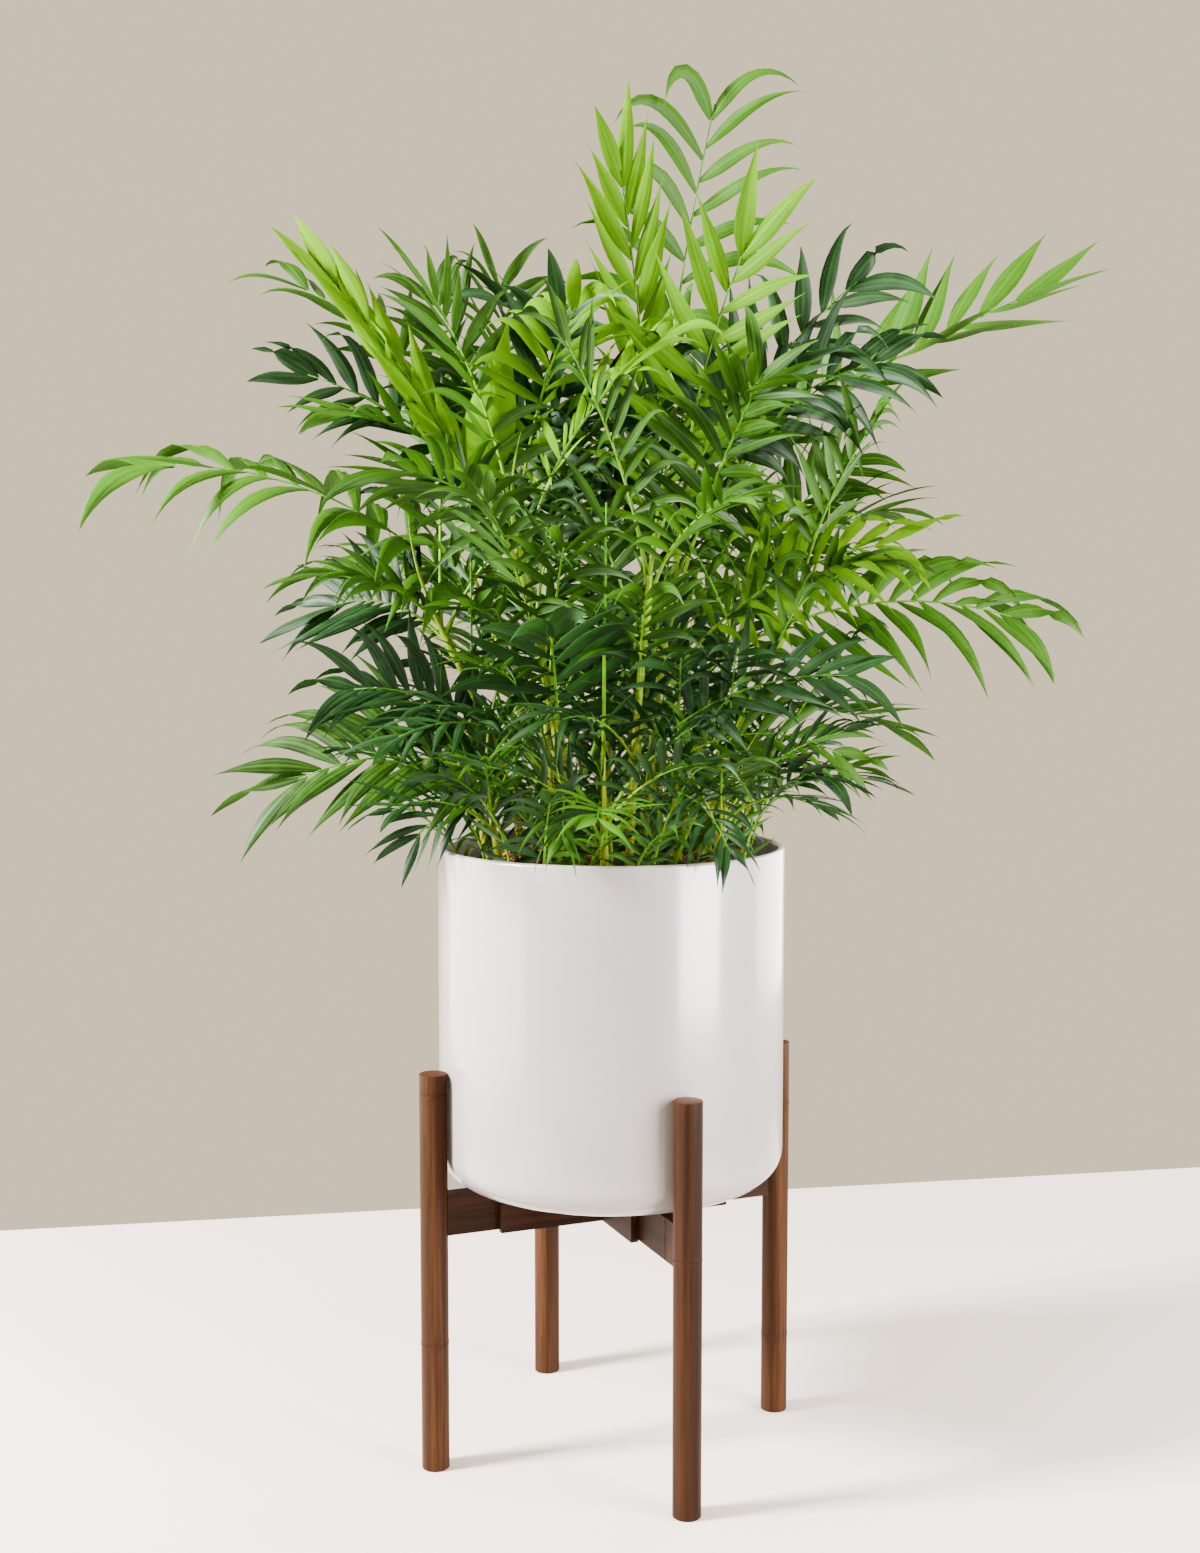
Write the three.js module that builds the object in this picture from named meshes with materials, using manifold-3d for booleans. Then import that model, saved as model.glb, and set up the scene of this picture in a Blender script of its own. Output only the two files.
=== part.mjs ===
// A potted parlour palm: a clump of thin canes with feather fronds in a white cylinder pot, which stands in a
// bamboo stand with four dowel legs and two crossed beams. Millimetres, +Z up, the floor at z = 0.
// The pot's axis is at x = y = 0 while the pieces are made. The group is moved at the end, so that the origin
// is on the floor under the middle of the whole outline.
import * as THREE from "three";
import { mergeVertices } from "three/addons/utils/BufferGeometryUtils.js";
import Module from "manifold-3d";

const wasm = await Module();
wasm.setup();

// Driving sizes
const GAP = 0.3;
const POT = { radius: 155, height: 300, wall: 6, base: 9, heel: 28, lip: 3, sides: 36 };
const LEG = { radius: 12.5, length: 355, edge: 1.2, sides: 14 };
const BEAM = { top: 249, height: 40, width: 28, cheek: 7, socket: 34 };
const LONG_BEAM_HALF = 110;
const SHORT_BEAM_HALF = 80;
const ARM = { height: 37, lift: 1.5 };
const STAND_TURN = 22;
const SOIL_BELOW_RIM = 20;
const CANE = {
  count: 12, ring: 88, tall: 330, drop: 150, vary: 22, lean: 27, turn: 40, steps: 4,
  radius: 3.6, flare: 5.4, sides: 6, seed: 510,
};
const SHAFT = { length: 44, radius: 4.2, tip: 2.2, sides: 6, below: 28 };
const STALK = { wide: 4.4, thick: 3.8, tipWide: 1.8, tipThick: 1.6, steps: 12, bare: 0.3 };
const LEAF = { belly: 0.42, thick: 1.7, vee: 22, slender: 0.2, swell: 0.7, graze: 0.0001 };
const CROWN = { fronds: 3, seed: 77, spread: 238 };
const TUFT = { fronds: 5, seed: 300 };
const TUFT_RINGS = [
  { count: 7, ring: 116, turn: 10, height: 62, lean: 12, spread: 52, reach: 136, leaf: 66, pairs: 5 },
  { count: 3, ring: 56, turn: 215, height: 118, lean: 6, spread: 71, reach: 180, leaf: 84, pairs: 6 },
];
const GOLDEN = 137.5;

const POT_SEAT = BEAM.top + GAP;
const RIM = POT_SEAT + POT.height;
const SOIL_TOP = RIM - SOIL_BELOW_RIM;
const LEG_RING = POT.radius + LEG.radius + GAP;

// Materials
const finish = (color, roughness) => new THREE.MeshStandardMaterial({ color, roughness, metalness: 0 });
const GLAZE = finish(0xe6e3e0, 0.3);
const BAMBOO = finish(0x7a4a2a, 0.5);
const SOIL = finish(0x3a2418, 0.95);
const CANE_SKIN = finish(0x9db53c, 0.5);
const GREENS = {
  dark: finish(0x1f5a24, 0.45),
  mid: finish(0x3f8a2b, 0.45),
  bright: finish(0x86b830, 0.45),
};

// Small tools
const DEG = Math.PI / 180;
const vec = (x, y, z) => new THREE.Vector3(x, y, z);
const UP = vec(0, 0, 1);
const heading = (azimuth, rise) => {
  const level = Math.cos(rise * DEG);
  return vec(level * Math.cos(azimuth * DEG), level * Math.sin(azimuth * DEG), Math.sin(rise * DEG));
};
const along = (from, direction, distance) => from.clone().addScaledVector(direction, distance);
const mix = (low, high, share) => low + (high - low) * share;

// A seeded stream of numbers between two bounds
function dice(seed) {
  let state = seed * 7919 + 17;
  return (low, high) => {
    state = (state * 48271) % 2147483647;
    return mix(low, high, state / 2147483647);
  };
}

const palm = new THREE.Group();
function place(name, geometry, material) {
  const mesh = new THREE.Mesh(geometry, material);
  mesh.name = name;
  palm.add(mesh);
  return mesh;
}

// Solids to cut and join with
function solidOf(geometry) {
  const bare = geometry.clone();
  bare.deleteAttribute("normal");
  bare.deleteAttribute("uv");
  const merged = mergeVertices(bare, 1e-4);
  return new wasm.Manifold(new wasm.Mesh({
    numProp: 3,
    vertProperties: Float32Array.from(merged.attributes.position.array),
    triVerts: Uint32Array.from(merged.index.array),
  }));
}

function geometryOf(solid) {
  const made = solid.getMesh();
  const geometry = new THREE.BufferGeometry();
  geometry.setAttribute("position", new THREE.BufferAttribute(Float32Array.from(made.vertProperties), 3));
  geometry.setIndex(Array.from(made.triVerts));
  geometry.computeVertexNormals();
  return geometry;
}

function closedMesh(points, faces) {
  const geometry = new THREE.BufferGeometry().setFromPoints(points);
  geometry.setIndex(faces.flat());
  return geometry;
}

// The pot: a cylinder with a rounded heel, a thin wall and a rounded lip
function potProfile() {
  const inner = POT.radius - POT.wall;
  const points = [new THREE.Vector2(0, 0)];
  for (let k = 0; k <= 3; k++) {
    const a = (k / 3) * 90 * DEG;
    points.push(new THREE.Vector2(POT.radius - POT.heel * (1 - Math.sin(a)), POT.heel * (1 - Math.cos(a))));
  }
  const lip = new THREE.Vector2(POT.radius - POT.lip, POT.height - POT.lip);
  for (let k = 0; k <= 3; k++) {
    const a = (k / 3) * Math.PI;
    points.push(new THREE.Vector2(Math.cos(a), Math.sin(a)).multiplyScalar(POT.lip).add(lip));
  }
  points.push(new THREE.Vector2(inner, POT.base + POT.heel / 2));
  points.push(new THREE.Vector2(inner - POT.heel / 2, POT.base), new THREE.Vector2(0, POT.base));
  return points;
}

function soilProfile() {
  const inner = POT.radius - POT.wall - GAP;
  const floor = POT.base + GAP;
  const top = POT.height - SOIL_BELOW_RIM;
  const heel = POT.heel / 2;
  const points = [[0, floor], [inner - heel - GAP, floor], [inner, floor + heel], [inner, top], [0, top]];
  return points.map(([r, z]) => new THREE.Vector2(r, z));
}

// A LatheGeometry turns about +Y, so it is stood up on +Z.
const upright = (profile, sides) => new THREE.LatheGeometry(profile, sides).rotateX(Math.PI / 2);
const pot = place("pot", upright(potProfile(), POT.sides), GLAZE);
const soil = place("soil", upright(soilProfile(), POT.sides), SOIL);
pot.geometry.translate(0, 0, POT_SEAT);
soil.geometry.translate(0, 0, POT_SEAT);

// The stand: four legs, two half-lapped beams with open slots in their ends, and an arm from slot to leg
function legGeometry() {
  const { radius, length, edge } = LEG;
  const top = [[radius, length - edge], [radius - edge, length], [0, length]];
  const outline = [[0, 0], [radius - edge, 0], [radius, edge], ...top];
  return upright(outline.map(([r, z]) => new THREE.Vector2(r, z)), LEG.sides);
}

function box(lengthX, widthY, heightZ, x, y, z) {
  return solidOf(new THREE.BoxGeometry(lengthX, widthY, heightZ).translate(x, y, z));
}

function beamSolid(half, lapFromTop) {
  const middle = BEAM.top - BEAM.height / 2;
  const slotWidth = BEAM.width - 2 * BEAM.cheek;
  let beam = box(2 * half, BEAM.width, BEAM.height, 0, 0, middle);
  for (const end of [-1, 1]) {
    beam = beam.subtract(box(BEAM.socket * 2, slotWidth, BEAM.height + 2, end * half, 0, middle));
  }
  const lapHeight = BEAM.height / 2 + GAP;
  const fromTop = BEAM.top - lapHeight / 2 + 0.5;
  const fromBottom = BEAM.top - BEAM.height + lapHeight / 2 - 0.5;
  const lapMiddle = lapFromTop ? fromTop : fromBottom;
  return beam.subtract(box(BEAM.width + 2 * GAP, BEAM.width + 2, lapHeight + 1, 0, 0, lapMiddle));
}

function armSolid(beamHalf) {
  const start = beamHalf - BEAM.socket + GAP;
  const bottom = BEAM.top - BEAM.height + ARM.lift;
  const width = BEAM.width - 2 * BEAM.cheek - 2 * GAP;
  const arm = box(LEG_RING - start, width, ARM.height, (LEG_RING + start) / 2, 0, bottom + ARM.height / 2);
  const round = LEG.radius + GAP;
  const cope = new THREE.CylinderGeometry(round, round, LEG.length, LEG.sides).rotateX(Math.PI / 2);
  return arm.subtract(solidOf(cope.translate(LEG_RING, 0, LEG.length / 2)));
}

const turned = (geometry, degrees) => geometry.rotateZ(degrees * DEG);
place("beam_long", turned(geometryOf(beamSolid(LONG_BEAM_HALF, false)), STAND_TURN), BAMBOO);
place("beam_short", turned(geometryOf(beamSolid(SHORT_BEAM_HALF, true)), STAND_TURN + 90), BAMBOO);
["right", "back", "left", "front"].forEach((side, k) => {
  const half = k % 2 ? SHORT_BEAM_HALF : LONG_BEAM_HALF;
  const angle = STAND_TURN + 90 * k;
  place("leg_" + side, turned(legGeometry().translate(LEG_RING, 0, 0), angle), BAMBOO);
  place("arm_" + side, turned(geometryOf(armSolid(half)), angle), BAMBOO);
});

// A closed tube through points, with one radius at each point; its first ring is square to a given direction
function tube(points, radii, sides, firstWay) {
  const corners = [];
  points.forEach((p, k) => {
    const before = points[Math.max(k - 1, 0)];
    const ahead = points[Math.min(k + 1, points.length - 1)].clone().sub(before).normalize();
    const way = k === 0 ? firstWay : ahead;
    const u = vec(1, 0, 0).addScaledVector(way, -way.x).normalize();
    const v = way.clone().cross(u);
    for (let s = 0; s < sides; s++) {
      const a = (s / sides) * 2 * Math.PI;
      const corner = along(p, u, radii[k] * Math.cos(a));
      corners.push(corner.addScaledVector(v, radii[k] * Math.sin(a)));
    }
  });
  const faces = [];
  const last = (points.length - 1) * sides;
  for (let s = 0; s < sides; s++) {
    const next = (s + 1) % sides;
    for (let k = 0; k < points.length - 1; k++) {
      const row = k * sides;
      faces.push([row + s, row + next, row + sides + next], [row + s, row + sides + next, row + sides + s]);
    }
    if (s > 0 && s < sides - 1) faces.push([0, next, s], [last, last + s, last + next]);
  }
  return closedMesh(corners, faces);
}

// Canes: their feet follow a sunflower spiral, and the outer ones are shorter and lean further out
function grownCane(i) {
  const share = Math.sqrt((i + 0.5) / CANE.count);
  const roll = dice(CANE.seed + i);
  const turn = CANE.turn + i * GOLDEN;
  const lean = CANE.lean * share + roll(-3, 3);
  const length = CANE.tall - CANE.drop * share + roll(-CANE.vary, CANE.vary);
  const points = [heading(turn, 0).multiplyScalar(CANE.ring * share).setZ(SOIL_TOP + GAP)];
  for (let k = 1; k <= CANE.steps; k++) {
    const rise = 90 - lean * (0.5 + 0.8 * ((k - 1) / CANE.steps));
    points.push(along(points[k - 1], heading(turn, rise), length / CANE.steps));
  }
  const top = points[CANE.steps];
  const way = top.clone().sub(points[CANE.steps - 1]).normalize();
  return { owner: i, points, turn, way, foot: along(top, way, GAP), length: SHAFT.length };
}

// The cane's centre at height z, below the part near its tip where fronds rise from the shaft instead
function caneAt(cane, z) {
  const top = cane.points[CANE.steps].z - SHAFT.below;
  const height = Math.min(Math.max(z, cane.points[0].z + 8), top);
  const k = cane.points.findIndex((p, j) => j > 0 && p.z >= height);
  const low = cane.points[k - 1];
  return low.clone().lerp(cane.points[k], (height - low.z) / (cane.points[k].z - low.z));
}

// The outline's fronds: where the rib's tip is and about where the frond leaves its cane, with leaflet sizes.
// Arch is half of the angle that the rib turns through, and face is where the blade's upper side looks.
const FRONT = [0, -1, 0.7];
const ASIDE = [-0.2, -0.6, 0.8];
const SKY = [0, -0.35, 1];
const OUTLINE = [
  { name: "top", tip: [92, 40, 1206], from: [62, 20, 850], arch: 4,
    pairs: 9, leaf: 124, face: FRONT, tone: "mid" },
  { name: "top_front", tip: [112, -90, 1060], from: [40, -30, 830], arch: 12,
    pairs: 8, leaf: 104, face: FRONT, tone: "bright" },
  { name: "top_left", tip: [8, -20, 1134], from: [30, 0, 840], arch: 6,
    pairs: 9, leaf: 96, fan: 0.5, face: FRONT, tone: "bright" },
  { name: "right_high", tip: [364, -20, 1030], from: [80, 0, 800], arch: 12,
    pairs: 10, leaf: 108, face: ASIDE, droop: 0.2, tone: "mid" },
  { name: "right_wide", tip: [342, -60, 752], from: [70, -20, 670], arch: 33,
    pairs: 10, leaf: 120, face: FRONT, droop: 1, tone: "mid" },
  { name: "right_bright", tip: [226, -110, 812], from: [50, -60, 690], arch: 24,
    pairs: 8, leaf: 92, face: FRONT, tone: "bright" },
  { name: "right_dark", tip: [192, -140, 704], from: [40, -80, 630], arch: 26,
    pairs: 7, leaf: 84, face: FRONT, tone: "dark" },
  { name: "right_low", tip: [196, -70, 634], from: [40, -50, 600], arch: 42,
    pairs: 7, leaf: 78, face: FRONT, tone: "mid" },
  { name: "left_wide", tip: [-400, 10, 886], from: [-95, -10, 625], arch: 38,
    pairs: 9, leaf: 122, face: SKY, droop: 0.9, tone: "mid" },
  { name: "left_low", tip: [-258, -60, 616], from: [-60, -50, 570], arch: 36,
    pairs: 9, leaf: 110, face: FRONT, tone: "mid" },
  { name: "left_spear", tip: [-240, -60, 1040], from: [-80, -50, 770], arch: 9,
    pairs: 9, leaf: 116, fan: 0.5, face: FRONT, tone: "bright" },
  { name: "left_high", tip: [-282, 50, 1050], from: [-110, 30, 850], arch: 20,
    pairs: 9, leaf: 92, face: SKY, tone: "mid" },
  { name: "left_upright", tip: [-160, 60, 1040], from: [-110, 40, 840], arch: 6,
    pairs: 8, leaf: 90, face: FRONT, tone: "mid" },
  { name: "left_dark", tip: [-262, -30, 960], from: [-120, -20, 820], arch: 22,
    pairs: 7, leaf: 84, face: FRONT, tone: "dark" },
  { name: "left_mid", tip: [-246, 0, 762], from: [-110, 10, 700], arch: 36,
    pairs: 8, leaf: 96, face: FRONT, tone: "dark" },
  { name: "left_under", tip: [-220, -70, 690], from: [-100, -50, 620], arch: 36,
    pairs: 8, leaf: 92, face: FRONT, tone: "dark" },
  { name: "front_broad", tip: [-50, -200, 740], from: [-40, -80, 620], arch: 24,
    pairs: 6, leaf: 100, face: SKY, tone: "dark" },
  { name: "front_fine", tip: [-100, -190, 845], from: [-70, -80, 690], arch: 16,
    pairs: 8, leaf: 84, face: SKY, tone: "mid" },
  { name: "front_rib", tip: [118, -180, 942], from: [30, -80, 740], arch: 10,
    pairs: 8, leaf: 94, face: FRONT, tone: "mid" },
  { name: "right_crest", tip: [204, -80, 1030], from: [100, -50, 850], arch: 14,
    pairs: 7, leaf: 98, face: FRONT, tone: "dark" },
  { name: "right_arch", tip: [222, -100, 962], from: [80, -70, 800], arch: 30,
    pairs: 8, leaf: 104, face: FRONT, droop: 0.9, tone: "dark" },
  { name: "right_mid", tip: [210, 10, 890], from: [90, 0, 720], arch: 22,
    pairs: 8, leaf: 90, face: FRONT, tone: "mid" },
  { name: "crest_mid", tip: [-40, -50, 1010], from: [-20, -40, 830], arch: 8,
    pairs: 7, leaf: 86, face: FRONT, tone: "dark" },
  { name: "over_left", tip: [-170, -60, 560], from: [-60, -40, 590], arch: 34,
    pairs: 6, leaf: 66, face: FRONT, tone: "dark" },
  { name: "over_front", tip: [-40, -166, 572], from: [-10, -60, 590], arch: 30,
    pairs: 6, leaf: 60, face: FRONT, tone: "mid" },
  { name: "over_right", tip: [96, -158, 560], from: [40, -60, 590], arch: 40,
    pairs: 6, leaf: 62, face: FRONT, tone: "dark" },
];

// A frond runs as an arc in an upright plane from its stem to its rib's tip.
function arcOf(start, tip, arch) {
  const chord = tip.clone().sub(start);
  const azimuth = Math.atan2(chord.y, chord.x) / DEG;
  const rise = Math.atan2(chord.z, Math.hypot(chord.x, chord.y)) / DEG;
  const length = (chord.length() * arch * DEG) / Math.sin(arch * DEG);
  const points = [start];
  for (let k = 0; k < STALK.steps; k++) {
    const share = (k + 0.5) / STALK.steps;
    points.push(along(points[k], heading(azimuth, rise + arch * (1 - 2 * share)), length / STALK.steps));
  }
  return { azimuth, rise, arch, length, points };
}

// The place, direction, right hand and upper side of the rib at a share of its length
function ribAt(frond, share) {
  const { points, azimuth, rise, arch } = frond.arc;
  const k = Math.min(Math.floor(share * STALK.steps), STALK.steps - 1);
  const at = points[k].clone().lerp(points[k + 1], share * STALK.steps - k);
  const way = heading(azimuth, rise + arch * (1 - 2 * share));
  const side = heading(azimuth - 90, 0).applyAxisAngle(way, frond.roll * DEG);
  return { at, way, side, up: side.clone().cross(way) };
}

// The roll about its rib with which the middle of a blade looks most nearly the given way
function rollTo(arc, face) {
  const { way, up } = ribAt({ arc, roll: 0 }, 0.6);
  return Math.atan2(way.clone().cross(up).dot(face), up.dot(face)) / DEG;
}

// What stalks keep clear of: the pot's wall, the soil, and every cane, shaft and stalk that already stands
const STALK_RADIUS = 2.4;
const CLEARANCE = 3.4;
const OWN_CLEARANCE = -0.9;
const stalks = [];

function distanceTo(point, low, high) {
  const run = high.clone().sub(low);
  const share = THREE.MathUtils.clamp(point.clone().sub(low).dot(run) / run.lengthSq(), 0, 1);
  return point.distanceTo(along(low, run, share));
}

function clearsPot(point) {
  const radius = Math.hypot(point.x, point.y);
  if (radius > POT.radius + 5) return true;
  return point.z > (radius > POT.radius - POT.wall - 5 ? RIM : SOIL_TOP) + 4;
}

// Near its foot, up to footLength, a stalk may touch what belongs to its own stem.
function isClear(points, owner, footLength) {
  const step = points[0].distanceTo(points[1]);
  const closer = points.flatMap((p, k) => (k ? [p.clone().lerp(points[k - 1], 0.5), p] : [p]));
  return closer.every((p, k) => {
    const atFoot = k * step / 2 < footLength;
    if (!atFoot && !clearsPot(p)) return false;
    return stalks.every((stalk) => {
      if (atFoot && stalk.owner === owner) return true;
      const need = STALK_RADIUS + stalk.radius + (stalk.owner === owner ? OWN_CLEARANCE : CLEARANCE);
      return stalk.points.every((q, j) => j === 0 || distanceTo(p, stalk.points[j - 1], q) >= need);
    });
  });
}

function caneGeometry(cane) {
  const [foot, ...rest] = cane.points;
  const radii = rest.map((p, k) => mix(CANE.radius, CANE.radius * 0.8, (k + 1) / CANE.steps));
  const points = [foot, along(foot, heading(cane.turn, 88), 9), ...rest];
  return tube(points, [CANE.flare, CANE.radius, ...radii], CANE.sides, UP);
}

const canes = [...Array(CANE.count).keys()].map(grownCane);
canes.forEach((cane) => {
  cane.geometry = caneGeometry(cane);
  cane.solid = solidOf(cane.geometry);
});
function keepShaft(stem) {
  const top = along(stem.foot, stem.way, stem.length);
  stalks.push({ owner: stem.owner, points: [stem.foot, top], radius: SHAFT.radius + 1 });
}
canes.forEach((cane) => stalks.push({ owner: cane.owner, points: cane.points, radius: CANE.radius }));
canes.forEach(keepShaft);

const fronds = [];
function keepFrond(frond) {
  fronds.push({ fan: 1, droop: 0.7, ...frond });
  stalks.push({ owner: frond.owner, points: frond.arc.points, radius: STALK_RADIUS });
}

// The rib's section at a share of its length: a flat top with a keel below, as right, left and keel corners
function ringOf(frond, share) {
  const rib = ribAt(frond, share);
  const wide = mix(STALK.wide, STALK.tipWide, share) / 2;
  const thick = mix(STALK.thick, STALK.tipThick, share);
  const corner = (s, u) => along(along(rib.at, rib.side, s * wide), rib.up, u * thick);
  return { rib, corners: [corner(1, 0.4), corner(-1, 0.4), corner(0, -0.6)] };
}

// The bare foot of a frond's stalk as a solid
function stalkFoot(frond) {
  const corners = [0, 0.5, 1].flatMap((part) => ringOf(frond, part * STALK.bare).corners);
  const faces = [[0, 1, 2], [6, 8, 7]];
  for (const a of [0, 3]) {
    for (const [from, to] of [[1, 0], [0, 2], [2, 1]]) {
      faces.push([a + from, a + to, a + to + 3], [a + from, a + to + 3, a + from + 3]);
    }
  }
  return solidOf(closedMesh(corners, faces));
}

// An outline frond leaves the cane that is nearest to where it should, and slides along it until it is clear.
// Above the cane's tip it rises from the shaft there and is joined to that crown. Below, it stands a small
// gap off the cane.
const SHAPED_SEED = 930;
const SLIDES = [0, 9, -9, 18, -18, 27, -27, 36, -36, 48, -48, 60, -60];
function outlineFrond(row, cane, z, tip) {
  const frondFrom = (start) => {
    const arc = arcOf(start, tip, row.arch);
    return { ...row, arc, roll: rollTo(arc, vec(...row.face)), owner: cane.owner, lens: true };
  };
  const above = z - cane.points[CANE.steps].z;
  if (above > -SHAFT.below) {
    const up = Math.min(Math.max(above, 6), cane.length * 0.75);
    return { ...frondFrom(along(cane.foot, cane.way, up)), joined: true };
  }
  const centre = caneAt(cane, z);
  const out = tip.clone().sub(centre).setZ(0).normalize();
  let off = CANE.radius * 0.7;
  while (stalkFoot(frondFrom(along(centre, out, off))).intersect(cane.solid).volume() > 0) off += 0.1;
  return frondFrom(along(centre, out, off + GAP));
}

function growOutlineFrond(row, number) {
  const tip = vec(...row.tip);
  const from = vec(...row.from);
  const away = (cane) => caneAt(cane, from.z).distanceTo(from);
  const near = [...canes].sort((a, b) => away(a) - away(b));
  for (const cane of near.slice(0, 5)) {
    for (const slide of SLIDES) {
      const frond = outlineFrond(row, cane, from.z + slide, tip);
      if (!isClear(frond.arc.points, cane.owner, frond.joined ? cane.length : 1)) continue;
      keepFrond({ ...frond, seed: SHAPED_SEED + number });
      return;
    }
  }
  throw new Error("no clear way for frond " + row.name);
}

// A stem's own fronds, each turned aside in small steps until its arc is clear, or else left out
function growFan(stem, count, seed, frondAt) {
  const roll = dice(seed);
  for (let j = 0; j < count; j++) {
    const plan = frondAt(j, roll);
    const start = along(stem.foot, stem.way, stem.length * plan.height);
    for (let t = 0; t < 16; t++) {
      const way = heading(plan.azimuth + (t % 2 ? 1 : -1) * Math.ceil(t / 2) * 9, plan.rise);
      const tip = along(start, way, plan.reach);
      while (Math.hypot(tip.x, tip.y) > CROWN.spread) tip.addScaledVector(way, -8);
      const arc = arcOf(start, tip, plan.arch);
      if (!isClear(arc.points, stem.owner, stem.length * (1 - plan.height) + 6)) continue;
      keepFrond({ ...plan, joined: true, seed: 40 * stem.owner + j, owner: stem.owner, arc });
      break;
    }
  }
}

// A crown's fronds stand a golden angle apart; the lower ones spread further.
function growCrown(cane) {
  growFan(cane, CROWN.fronds, CROWN.seed + cane.owner, (j, roll) => {
    const share = j / (CROWN.fronds - 1);
    return {
      height: 0.3 + 0.44 * share,
      azimuth: cane.turn + j * GOLDEN + roll(-25, 25),
      rise: mix(34, 72, share) + roll(-8, 8),
      reach: mix(200, 226, share) + roll(-20, 20),
      arch: mix(32, 12, share),
      droop: roll(0.5, 0.9),
      roll: roll(-20, 20),
      pairs: 6,
      leaf: roll(84, 100),
    };
  });
}

// Tufts: young stems on the soil. The outer ring's fronds spread over the rim, the inner ring's fill the
// middle.
function growTuft(ring, i) {
  const owner = stems.length;
  const roll = dice(TUFT.seed + owner);
  const length = ring.height * roll(0.8, 1.2);
  for (let t = 0; t < 12; t++) {
    const turn = ring.turn + (i * 360) / ring.count + t * 5;
    const foot = heading(turn, 0).multiplyScalar(ring.ring).setZ(SOIL_TOP + GAP);
    const way = heading(turn, 90 - ring.lean);
    const line = [0.2, 0.4, 0.6, 0.8, 1].map((share) => along(foot, way, length * share));
    if (!isClear(line, owner, 0)) continue;
    const tuft = { owner, ring, turn, way, foot, length };
    stems.push(tuft);
    keepShaft(tuft);
    return;
  }
}

function growTuftFronds(tuft) {
  const { ring, turn, owner } = tuft;
  growFan(tuft, TUFT.fronds, TUFT.seed + owner, (j, roll) => {
    const aside = Math.abs(j - 2) / 2;
    return {
      height: 0.5 + 0.1 * j,
      azimuth: turn + (j - 2) * ring.spread + roll(-12, 12),
      rise: mix(12, 52, aside) + roll(-8, 8),
      reach: ring.reach * mix(1, 0.86, aside) * roll(0.88, 1.12),
      arch: mix(32, 18, aside),
      droop: roll(0.5, 0.9),
      roll: roll(-15, 15),
      pairs: ring.pairs,
      leaf: ring.leaf * roll(0.9, 1.12),
    };
  });
}

const stems = [...canes];
OUTLINE.forEach(growOutlineFrond);
canes.forEach(growCrown);
for (const ring of TUFT_RINGS) {
  for (let i = 0; i < ring.count; i++) growTuft(ring, i);
}
const tufts = stems.slice(CANE.count);
tufts.forEach(growTuftFronds);

// A leaflet's points are its root's four corners on the rib, then for a lens two edges and a ridge, then its
// tip.
const LENS_FACES = [
  [0, 1, 4], [1, 2, 5], [1, 5, 4], [2, 3, 5], [3, 0, 6],
  [0, 4, 6], [3, 6, 5], [6, 4, 7], [5, 6, 7], [4, 5, 7],
];
const DART_FACES = [[0, 1, 4], [1, 2, 4], [2, 3, 4], [3, 0, 4]];
const BLOCK_FACES = [
  [0, 1, 5], [0, 5, 4], [1, 2, 6], [1, 6, 5], [2, 3, 7],
  [2, 7, 6], [3, 0, 4], [3, 4, 7], [4, 5, 6], [4, 6, 7],
];
const ROOT_CAP = [[0, 3, 2], [0, 2, 1]];
const flipped = (faces) => faces.map(([a, b, c]) => [a, c, b]);

// Where a leaflet runs: straight out from its root, then bent down beyond its widest place
function aimLeaflet(root, rib, hand, leaf) {
  const lift = LEAF.vee * DEG;
  const out = rib.side.clone().multiplyScalar(hand * Math.cos(lift)).addScaledVector(rib.up, Math.sin(lift));
  const turn = leaf.angle * DEG;
  const way = rib.way.clone().multiplyScalar(Math.cos(turn)).addScaledVector(out, Math.sin(turn));
  const middle = root.reduce((sum, p) => sum.add(p), vec(0, 0, 0)).multiplyScalar(0.25);
  const belly = along(middle, way, leaf.length * LEAF.belly);
  const bent = along(way, UP, -leaf.droop).normalize();
  const tip = along(belly, bent, leaf.length * (1 - LEAF.belly));
  const across = rib.way.clone().addScaledVector(way, -rib.way.dot(way)).normalize();
  const face = way.clone().cross(across).multiplyScalar(hand).normalize();
  return { root, middle, belly, bent, tip, across, face, half: leaf.width / 2 };
}

function swollenRoot(aim, swell) {
  return aim.root.map((p) => along(p, p.clone().sub(aim.middle).normalize(), swell));
}

function lensPoints(aim, swell) {
  const low = along(aim.belly, aim.face, -swell);
  const edges = [-1, 1].map((s) => along(low, aim.across, s * (aim.half + swell)));
  const ridge = along(aim.belly, aim.face, LEAF.thick + swell);
  return [...swollenRoot(aim, swell), ...edges, ridge, along(aim.tip, aim.bent, swell)];
}

// A block round a straight leaflet, which keeps others at a distance
function blockPoints(aim, swell) {
  const end = along(aim.tip, aim.bent, swell);
  const around = aim.root.map((p) => along(end, p.clone().sub(aim.middle).normalize(), swell));
  return [...swollenRoot(aim, swell), ...around];
}

const placed = [];
const boxAround = (points) => new THREE.Box3().setFromPoints(points);

function leafSolid(points, sides, hand) {
  const faces = [...sides, ...ROOT_CAP];
  return solidOf(closedMesh(points, hand > 0 ? faces : flipped(faces)));
}

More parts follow.
